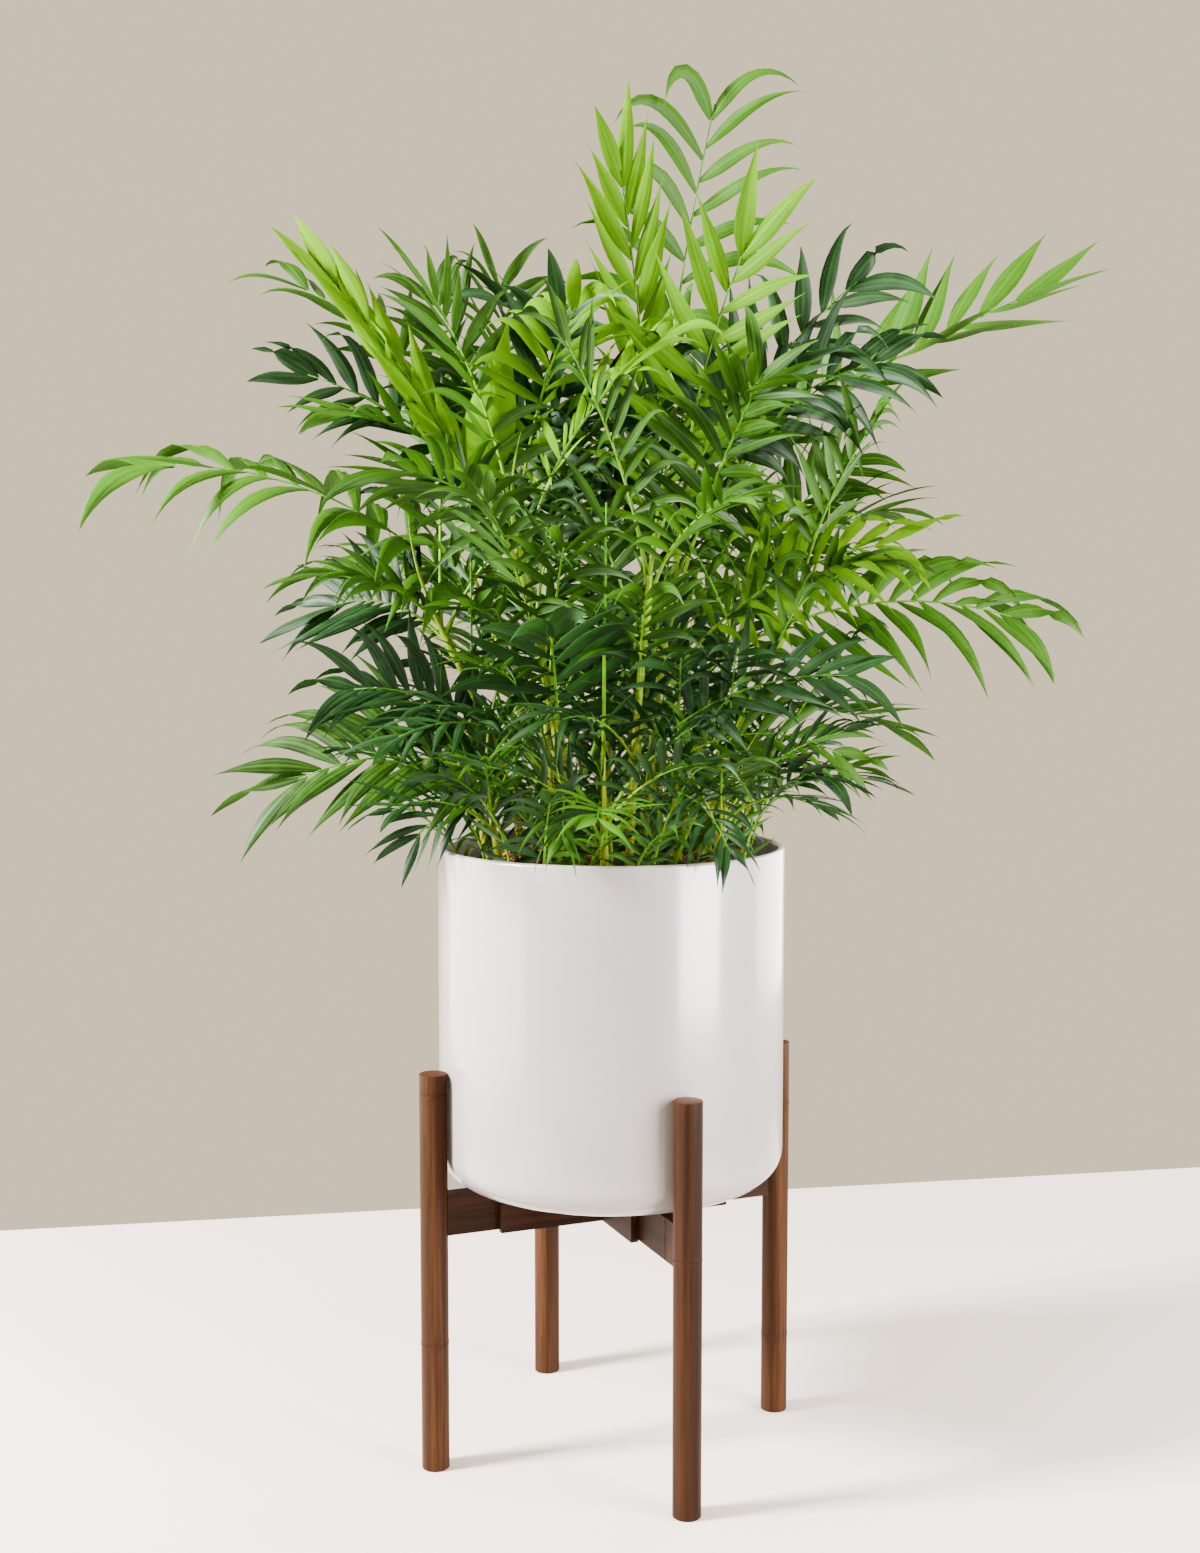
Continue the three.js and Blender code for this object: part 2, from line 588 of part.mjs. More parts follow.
// Another frond's pieces are met with a swollen leaflet, and the same frond's leaflets with a plain one.
function touches(swollen, plain, bounds, frond) {
  return placed.some((other) => {
    if (!other.bounds.intersectsBox(bounds)) return false;
    if (other.frond !== frond) return other.swollen.intersect(swollen).volume() > 0;
    return Boolean(other.plain) && other.plain.intersect(plain).volume() > LEAF.graze;
  });
}

// Ways to bend or shorten a leaflet that would touch another frond, tried in turn; then it is left out
const TRIES = [
  [0, 1], [0.35, 1], [-0.3, 1], [0.7, 0.95], [0.15, 0.8], [-0.5, 0.8], [0.5, 0.75], [0, 0.62], [0.8, 0.6],
];

function growLeaflet(frond, rear, front, hand, share, roll) {
  const slim = Math.sin(Math.PI * mix(0.2, 0.86, share));
  const length = frond.leaf * mix(0.66, 1, slim) * roll(0.92, 1.06);
  const angle = mix(70, share > 0.99 ? 24 : 34, share) * frond.fan + roll(-2, 2);
  const spacing = rear.rib.at.distanceTo(front.rib.at) * Math.sin(angle * DEG);
  const width = Math.min(frond.leaf * LEAF.slender, share > 0.99 ? 99 : spacing * 0.9);
  const edge = hand > 0 ? 0 : 1;
  const root = [rear.corners[edge], rear.corners[2], front.corners[2], front.corners[edge]];
  const firstDroop = frond.droop * roll(0.6, 1.3);
  for (const [more, shorter] of TRIES) {
    const size = { width: width * Math.sqrt(shorter), length: length * shorter };
    const aim = aimLeaflet(root, rear.rib, hand, { ...size, angle, droop: firstDroop + more });
    const points = frond.lens ? lensPoints(aim, 0) : [...root, aim.tip];
    const swollenPoints = frond.lens ? lensPoints(aim, LEAF.swell) : blockPoints(aim, LEAF.swell);
    const plain = leafSolid(points, frond.lens ? LENS_FACES : DART_FACES, hand);
    const swollen = leafSolid(swollenPoints, frond.lens ? LENS_FACES : BLOCK_FACES, hand);
    const bounds = boxAround(swollenPoints);
    if (plain.volume() <= 0 || touches(swollen, plain, bounds, frond)) continue;
    placed.push({ swollen, plain, bounds, frond });
    return points.slice(4);
  }
  return null;
}

// A frond's mesh: the rib with a leaflet on each side at every blade station
function buildFrond(frond) {
  const shares = [0, STALK.bare / 2];
  for (let k = 0; k <= frond.pairs; k++) shares.push(mix(STALK.bare, 1, k / frond.pairs));
  const rings = shares.map((share) => ringOf(frond, share));
  const points = rings.flatMap((ring) => ring.corners);
  const end = points.length - 3;
  const faces = [[0, 1, 2], [end, end + 2, end + 1]];
  const quad = (a, b, c, d) => faces.push([a, b, c], [a, c, d]);
  const roll = dice(frond.seed);
  for (let k = 0; k < rings.length - 1; k++) {
    const [a, b] = [3 * k, 3 * k + 3];
    quad(a + 1, a, b, b + 1);
    for (const hand of [1, -1]) {
      const edge = hand > 0 ? 0 : 1;
      const share = (k - 2) / (frond.pairs - 1);
      const leaf = k < 2 ? null : growLeaflet(frond, rings[k], rings[k + 1], hand, share, roll);
      if (leaf) {
        const number = [a + edge, a + 2, b + 2, b + edge, ...leaf.map((p, i) => points.length + i)];
        const sides = frond.lens ? LENS_FACES : DART_FACES;
        faces.push(...(hand > 0 ? sides : flipped(sides)).map((face) => face.map((i) => number[i])));
        points.push(...leaf);
      } else if (hand > 0) quad(a, a + 2, b + 2, b);
      else quad(a + 2, a + 1, b + 1, b + 2);
    }
  }
  return closedMesh(points, faces);
}

// What the leaflets keep clear of: the pot, the soil, the canes, the shafts and every rib
function standing(geometry, frond = null) {
  geometry.computeBoundingBox();
  placed.push({ swollen: solidOf(geometry), bounds: geometry.boundingBox, frond });
  return geometry;
}

// The sheaths at a cane's tip, or a young stem, which stands on the soil and so has a level foot
function shaftGeometry(stem, firstWay) {
  const points = [0, 0.6, 1].map((share) => along(stem.foot, stem.way, stem.length * share));
  return tube(points, [SHAFT.radius * 0.8, SHAFT.radius, SHAFT.tip], SHAFT.sides, firstWay);
}

standing(pot.geometry);
standing(soil.geometry);
canes.forEach((cane) => standing(cane.geometry));
const shaftMeshes = stems.map((stem) => standing(shaftGeometry(stem, stem.points ? stem.way : UP)));
fronds.forEach((frond) => {
  const radii = frond.arc.points.map(() => STALK_RADIUS + 1.2);
  standing(tube(frond.arc.points, radii, 6, ribAt(frond, 0).way), frond);
});
const frondMeshes = fronds.map(buildFrond);

// A crown or tuft is one solid: its shaft joined with its fronds, with any hollow between them filled.
function joinedSolid(stem, shaft) {
  const own = frondMeshes.filter((mesh, k) => fronds[k].joined && fronds[k].owner === stem.owner);
  const whole = own.reduce((sum, mesh) => sum.add(solidOf(mesh)), solidOf(shaft));
  const shells = whole.decompose().filter((shell) => shell.volume() > 0);
  return shells.reduce((sum, shell) => sum.add(shell));
}

const two = (n) => String(n).padStart(2, "0");
canes.forEach((cane, i) => place("cane_" + two(i + 1), cane.geometry, CANE_SKIN));
stems.forEach((stem, i) => {
  const name = i < canes.length ? "crown_" + two(i + 1) : "tuft_" + two(i - canes.length + 1);
  place(name, geometryOf(joinedSolid(stem, shaftMeshes[i])), i < canes.length ? GREENS.mid : GREENS.dark);
});
fronds.forEach((frond, k) => {
  if (!frond.joined) place("frond_" + frond.name, frondMeshes[k], GREENS[frond.tone]);
});

// The origin goes on the floor under the middle of the outline.
const outline = new THREE.Box3().setFromObject(palm);
palm.position.set(-(outline.min.x + outline.max.x) / 2, -(outline.min.y + outline.max.y) / 2, 0);

export default palm;
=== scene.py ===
# A potted parlour palm: thin canes with feather fronds in a white cylinder pot, on a bamboo stand.
# Metres, +Z up. The plant is grown round the pot's axis by the rule of the part's source, in finer detail,
# and each piece is then moved to where the frame has the pot.
import math

import bpy
import numpy as np
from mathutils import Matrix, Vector, noise


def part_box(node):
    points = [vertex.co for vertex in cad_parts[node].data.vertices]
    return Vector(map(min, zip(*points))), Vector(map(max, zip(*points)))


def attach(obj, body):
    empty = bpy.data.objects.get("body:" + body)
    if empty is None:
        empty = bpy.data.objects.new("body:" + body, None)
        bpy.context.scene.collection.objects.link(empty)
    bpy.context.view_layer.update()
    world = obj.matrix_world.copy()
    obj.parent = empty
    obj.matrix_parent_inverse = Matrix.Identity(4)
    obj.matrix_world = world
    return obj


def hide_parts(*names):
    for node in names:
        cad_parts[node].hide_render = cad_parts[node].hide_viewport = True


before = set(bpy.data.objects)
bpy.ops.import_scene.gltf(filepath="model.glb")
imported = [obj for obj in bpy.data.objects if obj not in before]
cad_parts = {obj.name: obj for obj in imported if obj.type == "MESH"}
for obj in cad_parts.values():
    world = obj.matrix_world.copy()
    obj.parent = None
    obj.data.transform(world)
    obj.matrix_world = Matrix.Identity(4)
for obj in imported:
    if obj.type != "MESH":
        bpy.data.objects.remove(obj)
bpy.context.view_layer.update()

# What the frame says of the pot and the stand
POT_LOW, POT_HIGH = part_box("pot")
AXIS = np.array([(POT_LOW.x + POT_HIGH.x) / 2, (POT_LOW.y + POT_HIGH.y) / 2, 0.0])
POT_SEAT = POT_LOW.z
RIM = POT_HIGH.z
SOIL_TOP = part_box("soil")[1].z
SIDES = ("right", "back", "left", "front")

# Driving sizes, mostly as in the part's source
GAP = 0.0003
GOLDEN = 137.5
STAND_TURN = 22
POT = {"radius": 0.155, "wall": 0.006, "base": 0.009, "heel": 0.028}
LEG = {"radius": 0.0125, "length": 0.355, "edge": 0.0012}
LEG_RING = POT["radius"] + LEG["radius"] + GAP
CANE = {
    "count": 12, "ring": 0.088, "tall": 0.330, "drop": 0.150, "vary": 0.022, "lean": 27, "turn": 40,
    "steps": 4, "radius": 0.0036, "taper": 0.8, "flare": 0.0054, "flare_height": 0.006, "bare": 0.008,
    "seed": 510,
}
SHAFT = {"length": 0.044, "radius": 0.0042, "tip": 0.0022, "below": 0.028, "low": 0.006, "high": 0.75,
         "seed": 90}
STALK = {"steps": 12, "radius": 0.0024, "clear": 0.0034, "own": -0.0009, "start": 0.0048, "foot": 0.001}
# A stem's fronds turn aside by steps until they are clear, and their tips are pulled in to their spread
FAN = {"tries": 16, "turn": 9, "pull": 0.008, "foot": 0.006, "leaf_seeds": 40}
CROWN = {"fronds": 3, "seed": 77, "spread": 0.238}
TUFT = {"fronds": 5, "seed": 300, "tries": 12, "turn": 5}
TUFT_RINGS = (
    {"count": 7, "ring": 0.116, "turn": 10, "height": 0.062, "lean": 12, "spread": 52, "reach": 0.136,
     "leaf": 0.066, "pairs": 5},
    {"count": 3, "ring": 0.056, "turn": 215, "height": 0.118, "lean": 6, "spread": 71, "reach": 0.180,
     "leaf": 0.084, "pairs": 6},
)

# Sizes of the finer pieces. In the first three, count is how many fronds are tried, tries is how often each
# looks for a clear place, and turn is how many degrees further round it looks each time. An owner under 0
# stands on no cane.
INNER = {
    "count": 38, "seed": 40, "low": 0.05, "spread": 0.212, "tries": 10, "turn": 31, "foot": 0.02,
    "leaf_seed": 5000,
}
SLIM = {
    "count": 20, "seed": 1300, "ring": 0.098, "start": 20, "tries": 12, "turn": 17, "aside": 30,
    "lean": (6, 30), "sway": 5, "length": (0.24, 0.38), "arch": (3, 9), "roll": 25, "pairs": 6,
    "leaf": (0.070, 0.092), "wide": (0.09, 0.13), "droop": (0.8, 1.6), "bare": 0.62, "thick": 1.5,
    "foot": 0.006, "owner": -200, "leaf_seed": 9000, "tones": ("dark", "mid", "mid"),
}
SEEDLING = {
    "count": 40, "seed": 900, "ring": 0.138, "start": 60, "tries": 12, "turn": 29, "aside": 50,
    "lean": (34, 34), "sway": 20, "length": (0.070, 0.140), "arch": (14, 34), "roll": 20, "pairs": 7,
    "leaf": (0.048, 0.068), "wide": (0.09, 0.12), "droop": (0.6, 1.2), "bare": 0.1, "thick": 0.85,
    "foot": 0.012, "owner": -1, "leaf_seed": 7000, "tones": ("dark", "mid"),
}
# How far stalks and leaves keep from the side of the pot and from what is under them
POT_ROOM = {"stalk": (0.005, 0.004), "leaf": (0.003, 0.003)}
# How far the feet of what rises from the potting mix are sunk in it
SUNK = 0.001
# A frond's stalk: end sets the last leaflets back from its tip, and stagger parts the two of a pair
RIB = {"radius": 0.0017, "tip": 0.0005, "swell": 0.0009, "end": 0.35, "stagger": 0.2}
# The furled leaf at the top of a shaft
BUD = {"short": 0.05, "long": 0.12, "radius": 0.0018, "tip": 0.0002, "rows": 12}
# The rings of a cane, and the knuckles of a bamboo leg
KNOT = {"spacing": 0.030, "swell": 0.0006, "half": 0.0024, "seed": 700, "end": 0.01}
KNUCKLE = {"spacing": 0.223, "swell": 0.00025, "half": 0.004, "end": 0.02}
BEVEL = {"width": 0.0009, "segments": 2, "angle": 40}
POTTING_MIX = {"rings": 70, "sectors": 180, "skirt": 0.03, "edge": 0.147, "chips": 2600, "seed": 61}
# How many sides each round piece has, and how many rows a leg or a cane has along it
ROUND = {"pot": 160, "leg": 40, "cane": 14, "shaft": 12, "bud": 8, "stalk": 7}
ROWS = 40
# Each leg: the height of a knuckle and a tone that darkens its stain, mostly as painted shade where the leg
# gets less light (the front leg most), and the same of the beams along their run, whose tone is painted
# shade from the shadow under the pot
DOWELS = {"right": (0.075, 0.85), "back": (0.150, 0.7), "left": (0.114, 0.85), "front": (0.221, 0.4)}
BEAMS = (0.075, 0.5)

# The picture. Each light: its place from the pot's axis, its width and height, its power and its colour
CAMERA = {"from_pot": (-0.0099, -1.6901, 0.7518), "down": 4.81, "lens": 43.97}
FLOOR = {"half": 0.96, "back": 0.708, "slant": 0.173}
BACKDROP = {"colour": 0xCEBEA3, "strength": 1.7}
LIT_HEIGHT = 0.65
LIGHTS = {
    "key_left": ((-2.15, -0.7, 1.8), (0.5, 0.6), 880, (1.0, 0.985, 0.965)),
    "strip_right": ((1.17, -0.78, 0.78), (0.74, 1.3), 150, (1.0, 0.99, 0.98)),
    "side_right": ((1.45, 1.2, 0.75), (1.6, 1.4), 80, (1.0, 0.99, 0.98)),
    "side_left": ((-1.5, 0.05, 0.55), (2.2, 1.1), 74, (1.0, 0.99, 0.98)),
    "top_soft": ((0.3, 0.6, 2.6), (1.6, 1.6), 15, (1.0, 0.98, 0.95)),
}

# The usual step of a seeded stream, and what sets it going
DICE = {"factor": 48271, "size": 2147483647, "spread": 7919, "first": 17}


# Small tools
def mix(low, high, share):
    return low + (high - low) * share


def heading(azimuth, rise):
    a = math.radians(azimuth)
    r = math.radians(rise)
    return np.array([math.cos(r) * math.cos(a), math.cos(r) * math.sin(a), math.sin(r)])


def unit(vectors):
    return vectors / np.linalg.norm(vectors, axis=-1, keepdims=True)


def dice(seed):
    """A seeded stream of numbers between two bounds."""
    state = seed * DICE["spread"] + DICE["first"]

    def roll(low, high):
        nonlocal state
        state = (state * DICE["factor"]) % DICE["size"]
        return mix(low, high, state / DICE["size"])

    return roll


def paint(code, tone=1.0):
    """The linear colour of a usual six-digit colour code, made lighter or darker by tone."""
    parts = [(code >> shift & 255) / 255 for shift in (16, 8, 0)]
    linear = [c / 12.92 if c <= 0.04045 else ((c + 0.055) / 1.055) ** 2.4 for c in parts]
    return (*(c * tone for c in linear), 1.0)


# Shader tools
class Field:
    """A number, colour or vector that changes over a surface."""

    def __init__(self, finish, socket):
        self.finish = finish
        self.socket = socket

    def worked(self, operation, *others):
        inputs = dict(enumerate((self, *others)))
        return self.finish.node("ShaderNodeMath", {"operation": operation}, inputs)

    def __add__(self, other):
        return self.worked("ADD", other)

    def __radd__(self, other):
        return self.worked("ADD", other)

    def __mul__(self, other):
        return self.worked("MULTIPLY", other)

    def __rmul__(self, other):
        return self.worked("MULTIPLY", other)

    def __sub__(self, other):
        return self.worked("SUBTRACT", other)

    def __rsub__(self, other):
        return self.worked("MULTIPLY", -1.0) + other

    def __abs__(self):
        return self.worked("ABSOLUTE")

    def sine(self):
        return self.worked("SINE")

    def wrapped(self):
        return self.worked("FRACT")

    def step(self, low, high):
        """0 up to low and 1 from high on, or the other way round, with a soft way between."""
        span = {"Value": self, "From Min": low, "From Max": high, "To Min": 0.0, "To Max": 1.0}
        if low > high:
            span.update({"From Min": high, "From Max": low, "To Min": 1.0, "To Max": 0.0})
        return self.finish.node("ShaderNodeMapRange", {"interpolation_type": "SMOOTHSTEP"}, span)

    def between(self, first, second):
        """The first colour where the field is 0, and the second where it is 1."""
        settings = {"data_type": "RGBA", "blend_type": "MIX"}
        return self.finish.node("ShaderNodeMix", settings, {0: self, 6: first, 7: second}, 2)

    def part(self, axis):
        return self.finish.node("ShaderNodeSeparateXYZ", {}, {0: self}, axis)


class Finish:
    """One material: its shader and the fields that feed it."""

    def __init__(self, name, even):
        self.material = bpy.data.materials.new(name)
        self.material.use_nodes = True
        self.tree = self.material.node_tree
        self.shader = self.tree.nodes["Principled BSDF"]
        for socket, value in even.items():
            self.shader.inputs[socket].default_value = value

    def node(self, kind, settings, inputs, output=0):
        made = self.tree.nodes.new(kind)
        for name, value in settings.items():
            setattr(made, name, value)
        for key, value in inputs.items():
            if isinstance(value, Field):
                self.tree.links.new(value.socket, made.inputs[key])
            else:
                made.inputs[key].default_value = value
        return Field(self, made.outputs[output])

    def fact(self, name):
        return self.node("ShaderNodeAttribute", {"attribute_name": name}, {}, "Fac")

    def place(self):
        return self.node("ShaderNodeTexCoord", {}, {}, "Object")

    def vector(self, x, y, z):
        return self.node("ShaderNodeCombineXYZ", {}, {0: x, 1: y, 2: z})

    def noise(self, where, scale, detail=3.0):
        inputs = {"Vector": where, "Scale": scale, "Detail": detail}
        return self.node("ShaderNodeTexNoise", {}, inputs, "Fac")

    def cells(self, where, scale):
        return self.node("ShaderNodeTexVoronoi", {}, {"Vector": where, "Scale": scale}, "Distance")

    def feed(self, socket, field):
        self.tree.links.new(field.socket, self.shader.inputs[socket])

    def relief(self, height, depth, strength):
        inputs = {"Height": height, "Distance": depth, "Strength": strength}
        self.feed("Normal", self.node("ShaderNodeBump", {}, inputs))

    def let_light_through(self, share, colour):
        glow = self.node("ShaderNodeBsdfTranslucent", {}, {"Color": colour})
        front = Field(self, self.shader.outputs[0])
        both = self.node("ShaderNodeMixShader", {}, {0: share, 1: front, 2: glow})
        self.tree.links.new(both.socket, self.tree.nodes["Material Output"].inputs["Surface"])


def leaf_finish(tone, shine, thin, *codes):
    """Satin leaf skin, more or less thin to light. A spray's own value picks its green between two."""
    finish = Finish("leaf_" + tone, {"Specular IOR Level": shine})
    plain, other, light, through = (paint(code) for code in codes)
    where = finish.place()
    middle = abs(finish.fact("across") - 0.5)
    along = finish.fact("along")
    base = finish.fact("spray").between(plain, other)
    cloud = finish.noise(where, 60.0, 1.0)
    base = (cloud.step(0.35, 0.75) * 0.2).between(base, light)
    veins = (middle * 27.0).sine().step(0.2, 1.0)
    base = (veins * 0.32).between(base, light)
    rib = middle.step(0.045, 0.012) * along.step(1.0, 0.6)
    base = (rib * 0.5).between(base, light)
    aged = along.step(0.93, 1.0) * finish.fact("leaflet").step(0.55, 0.9)
    base = (aged * 0.65).between(base, paint(0x8A7A2C))
    finish.feed("Base Color", base)
    finish.feed("Roughness", 0.44 + cloud * 0.16)
    finish.let_light_through(thin, through)
    return finish.material


def cane_finish():
    """Waxy yellow-green cane with brown rings, greener towards its top."""
    finish = Finish("cane_skin", {"Specular IOR Level": 0.12})
    where = finish.place()
    ring = finish.fact("ring")
    height = where.part(2)
    streaks = finish.noise(finish.vector(where.part(0), where.part(1), height * 0.06), 900.0)
    base = height.step(SOIL_TOP + 0.02, SOIL_TOP + 0.26).between(paint(0x5C5E08), paint(0x4E6E02))
    base = (streaks.step(0.45, 0.7) * 0.5).between(base, paint(0x829208))
    base = (finish.noise(where, 130.0).step(0.62, 0.78) * 0.5).between(base, paint(0x5C5020))
    base = (ring * 0.85).between(base, paint(0x3A3012))
    finish.feed("Base Color", base)
    finish.feed("Roughness", 0.38 + ring * 0.3 + streaks * 0.12)
    finish.relief(streaks + ring * 0.6, 0.0004, 0.5)
    return finish.material


def rib_finish():
    """The fronds' stalks: yellow-green at the foot and leaf green towards the tip."""
    finish = Finish("frond_stalk", {"Specular IOR Level": 0.1})
    where = finish.place()
    base = finish.fact("along").step(0.1, 0.85).between(paint(0x527400), paint(0x2C5E04))
    base = (finish.fact("spray").step(0.5, 1.0) * 0.5).between(base, paint(0x1E5206))
    fine = finish.noise(where, 300.0)
    base = (fine.step(0.5, 0.75) * 0.3).between(base, paint(0x7C9804))
    finish.feed("Base Color", base)
    finish.feed("Roughness", 0.4 + fine * 0.15)
    finish.relief(fine, 0.0003, 0.4)
    return finish.material


def glaze_finish():
    """Satin off-white ceramic, very slightly uneven."""
    finish = Finish("satin_glaze", {"Specular IOR Level": 0.5, "Coat Weight": 1.0, "Coat Roughness": 0.14})
    where = finish.place()
    cloud = finish.noise(where, 7.0, 4.0)
    fine = finish.noise(where, 260.0, 2.0)
    specks = finish.cells(where, 95.0).step(0.07, 0.03)
    base = cloud.step(0.3, 0.7).between(paint(0x807A78), paint(0x7B7573))
    base = (specks * finish.noise(where, 21.0).step(0.56, 0.66) * 0.3).between(base, paint(0xB9AFA4))
    finish.feed("Base Color", base)
    finish.feed("Roughness", 0.36 + cloud * 0.1 + fine * 0.04)
    finish.relief(fine * 0.25 + cloud, 0.0006, 0.35)
    return finish.material


def bamboo_finish(name, turn, knuckle, tone):
    """Stained bamboo darkened by tone, mostly as painted shade, with fibres along turn (degrees), or
    upright for None.
    """
    finish = Finish(name, {"Specular IOR Level": 0.05})
    where = finish.place()
    x = where.part(0)
    y = where.part(1)
    z = where.part(2)
    if turn is None:
        side, rise, run = x, y, z
    else:
        c = math.cos(math.radians(turn))
        s = math.sin(math.radians(turn))
        side, rise, run = y * c - x * s, z, x * c + y * s
    strips = finish.noise(finish.vector(side, rise, run * 0.02), 150.0, 2.0)
    fibres = finish.noise(finish.vector(side, rise, run * 0.012), 1500.0, 3.0)
    dashes = finish.noise(finish.vector(side, rise, run * 0.05), 2300.0, 1.0)
    wander = finish.noise(finish.vector(side, rise, run * 0.3), 420.0, 2.0) - 0.5
    away = ((run - knuckle + wander * 0.006) * (1 / KNUCKLE["spacing"]) + 0.5).wrapped() - 0.5
    away = abs(away) * KNUCKLE["spacing"]
    line = away.step(0.0016, 0.0004)
    halo = away.step(0.011, 0.002)
    # The tone darkens the stain as painted shade where the stand gets less light
    base = strips.step(0.35, 0.65).between(paint(0x28170A, tone), paint(0x402614, tone))
    base = (fibres.step(0.42, 0.62) * 0.45).between(base, paint(0x140702))
    base = (dashes.step(0.6, 0.72) * 0.4).between(base, paint(0x4A260C, tone))
    base = (halo * fibres.step(0.4, 0.6) * 0.5).between(base, paint(0x241006))
    base = (line * fibres.step(0.3, 0.6) * 0.5).between(base, paint(0x1C0C04))
    if turn is None:
        facing = finish.node("ShaderNodeNewGeometry", {}, {}, "Normal").part(2)
        cut = abs(facing).step(0.8, 0.95)
        pores = finish.cells(finish.vector(x, y, 0.0), 620.0).step(0.34, 0.2)
        ends = (pores * 0.8).between(paint(0x2C1406), paint(0x120702))
        base = cut.between(base, ends)
    finish.feed("Base Color", base)
    finish.feed("Roughness", 0.4 + fibres * 0.16 + line * 0.2)
    finish.relief(fibres * 0.5 + strips * 0.6 + line * -1.2, 0.0005, 0.55)
    return finish.material


def soil_finish():
    """Damp coir and bark in dark red-browns."""
    finish = Finish("coir_and_bark", {"Roughness": 0.9, "Specular IOR Level": 0.25})
    where = finish.place()
    grain = finish.noise(where, 260.0, 5.0)
    clump = finish.noise(where, 70.0)
    base = grain.step(0.35, 0.65).between(paint(0x2C150C), paint(0x6C3420))
    base = (finish.fact("chip").step(0.3, 1.0) * 0.7).between(base, paint(0x8A5434))
    base = (clump.step(0.5, 0.7) * 0.5).between(base, paint(0x1E110B))
    finish.feed("Base Color", base)
    finish.relief(grain + clump, 0.002, 0.8)
    return finish.material


def floor_finish():
    """Pale matt floor with a very fine grain."""
    finish = Finish("pale_floor", {"Roughness": 0.75})
    grain = finish.noise(finish.place(), 240.0)
    finish.feed("Base Color", grain.between(paint(0xB4A8A0), paint(0xB0A49C)))
    return finish.material


# Each tone: its shine, how thin it is to light, the two greens that its sprays lie between, the green of
# its veins, and the colour of the light that comes through
GREENS = {
    "dark": (0.13, 0.09, 0x041404, 0x0E230B, 0x204818, 0x1C4A04),
    "mid": (0.12, 0.14, 0x0B2002, 0x244802, 0x345E02, 0x305E00),
    "bright": (0.02, 0.26, 0x163800, 0x4C7400, 0x4E7C00, 0x568800),
}
LEAF_FINISHES = {tone: leaf_finish(tone, *row) for tone, row in GREENS.items()}


# Pieces
class Bundle:
    """Things of one kind that make one piece: corners, triangles, and each fact's value at each corner."""

    def __init__(self, *facts):
        self.points = []
        self.faces = []
        self.facts = {fact: [] for fact in facts}
        self.count = 0

    def add(self, points, faces, **facts):
        self.points.append(points)
        self.faces.append(np.asarray(faces) + self.count)
        self.count += len(points)
        for fact, value in facts.items():
            self.facts[fact].append(np.broadcast_to(value, len(points)))

    def piece(self, name, material, slot, nodes=(), sharp=None):
        points = np.concatenate(self.points) + AXIS
        mesh = bpy.data.meshes.new(name)
        mesh.from_pydata(points.tolist(), [], np.concatenate(self.faces).tolist())
        mesh.shade_smooth()
        if sharp:
            mesh.set_sharp_from_angle(angle=math.radians(sharp))
        for fact, values in self.facts.items():
            kept = mesh.attributes.new(fact, "FLOAT", "POINT")
            kept.data.foreach_set("value", np.concatenate(values).astype(np.float32))
        mesh.materials.append(material)
        made = bpy.data.objects.new(name, mesh)
        bpy.context.scene.collection.objects.link(made)
        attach(made, "root")
        if nodes:
            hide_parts(*nodes)
        return made


# A direction that no tube starts along
SLANTWISE = (0.3, 0.9, 0.1)


def tube(points, radii, sides):
    """A closed tube: its corners and triangles."""
    points = np.asarray(points)
    ways = unit(np.gradient(points, axis=0))
    side = unit(np.cross(ways[0], SLANTWISE))
    turns = np.linspace(0, 2 * math.pi, sides, endpoint=False)
    corners = []
    for place, way, radius in zip(points, ways, radii):
        side = unit(side - way * side.dot(way))
        up = np.cross(way, side)
        ring = np.outer(np.cos(turns), side) + np.outer(np.sin(turns), up)
        corners.append(place + ring * radius)
    faces = []
    last = (len(points) - 1) * sides
    for s in range(sides):
        after = (s + 1) % sides
        for row in range(0, last, sides):
            faces.append((row + s, row + after, row + sides + after))
            faces.append((row + s, row + sides + after, row + sides + s))
        if 0 < s < sides - 1:
            faces.append((0, after, s))
            faces.append((last, last + s, last + after))
    return np.concatenate(corners), faces


def turned(profile, sides):
    """A profile of (radius, height) pairs turned about the upright axis, closed where the radius is 0."""
    turns = np.linspace(0, 2 * math.pi, sides, endpoint=False)
    points = []
    rows = []
    for radius, height in profile:
        first = len(points)
        if radius == 0:
            points.append((0.0, 0.0, height))
            rows.append([first] * sides)
        else:
            points += [(radius * math.cos(a), radius * math.sin(a), height) for a in turns]
            rows.append(list(range(first, first + sides)))
    faces = []
    for low, high in zip(rows, rows[1:]):
        for s in range(sides):
            after = (s + 1) % sides
            if low[s] != low[after]:
                faces.append((low[s], low[after], high[after]))
            if high[s] != high[after]:
                faces.append((low[s], high[after], high[s]))
    return np.array(points), faces


# The pot
def arc_profile(centre, radius, start, end, steps):
    angles = np.radians(np.linspace(start, end, steps + 1))
    return [(centre[0] + radius * math.cos(a), centre[1] + radius * math.sin(a)) for a in angles]


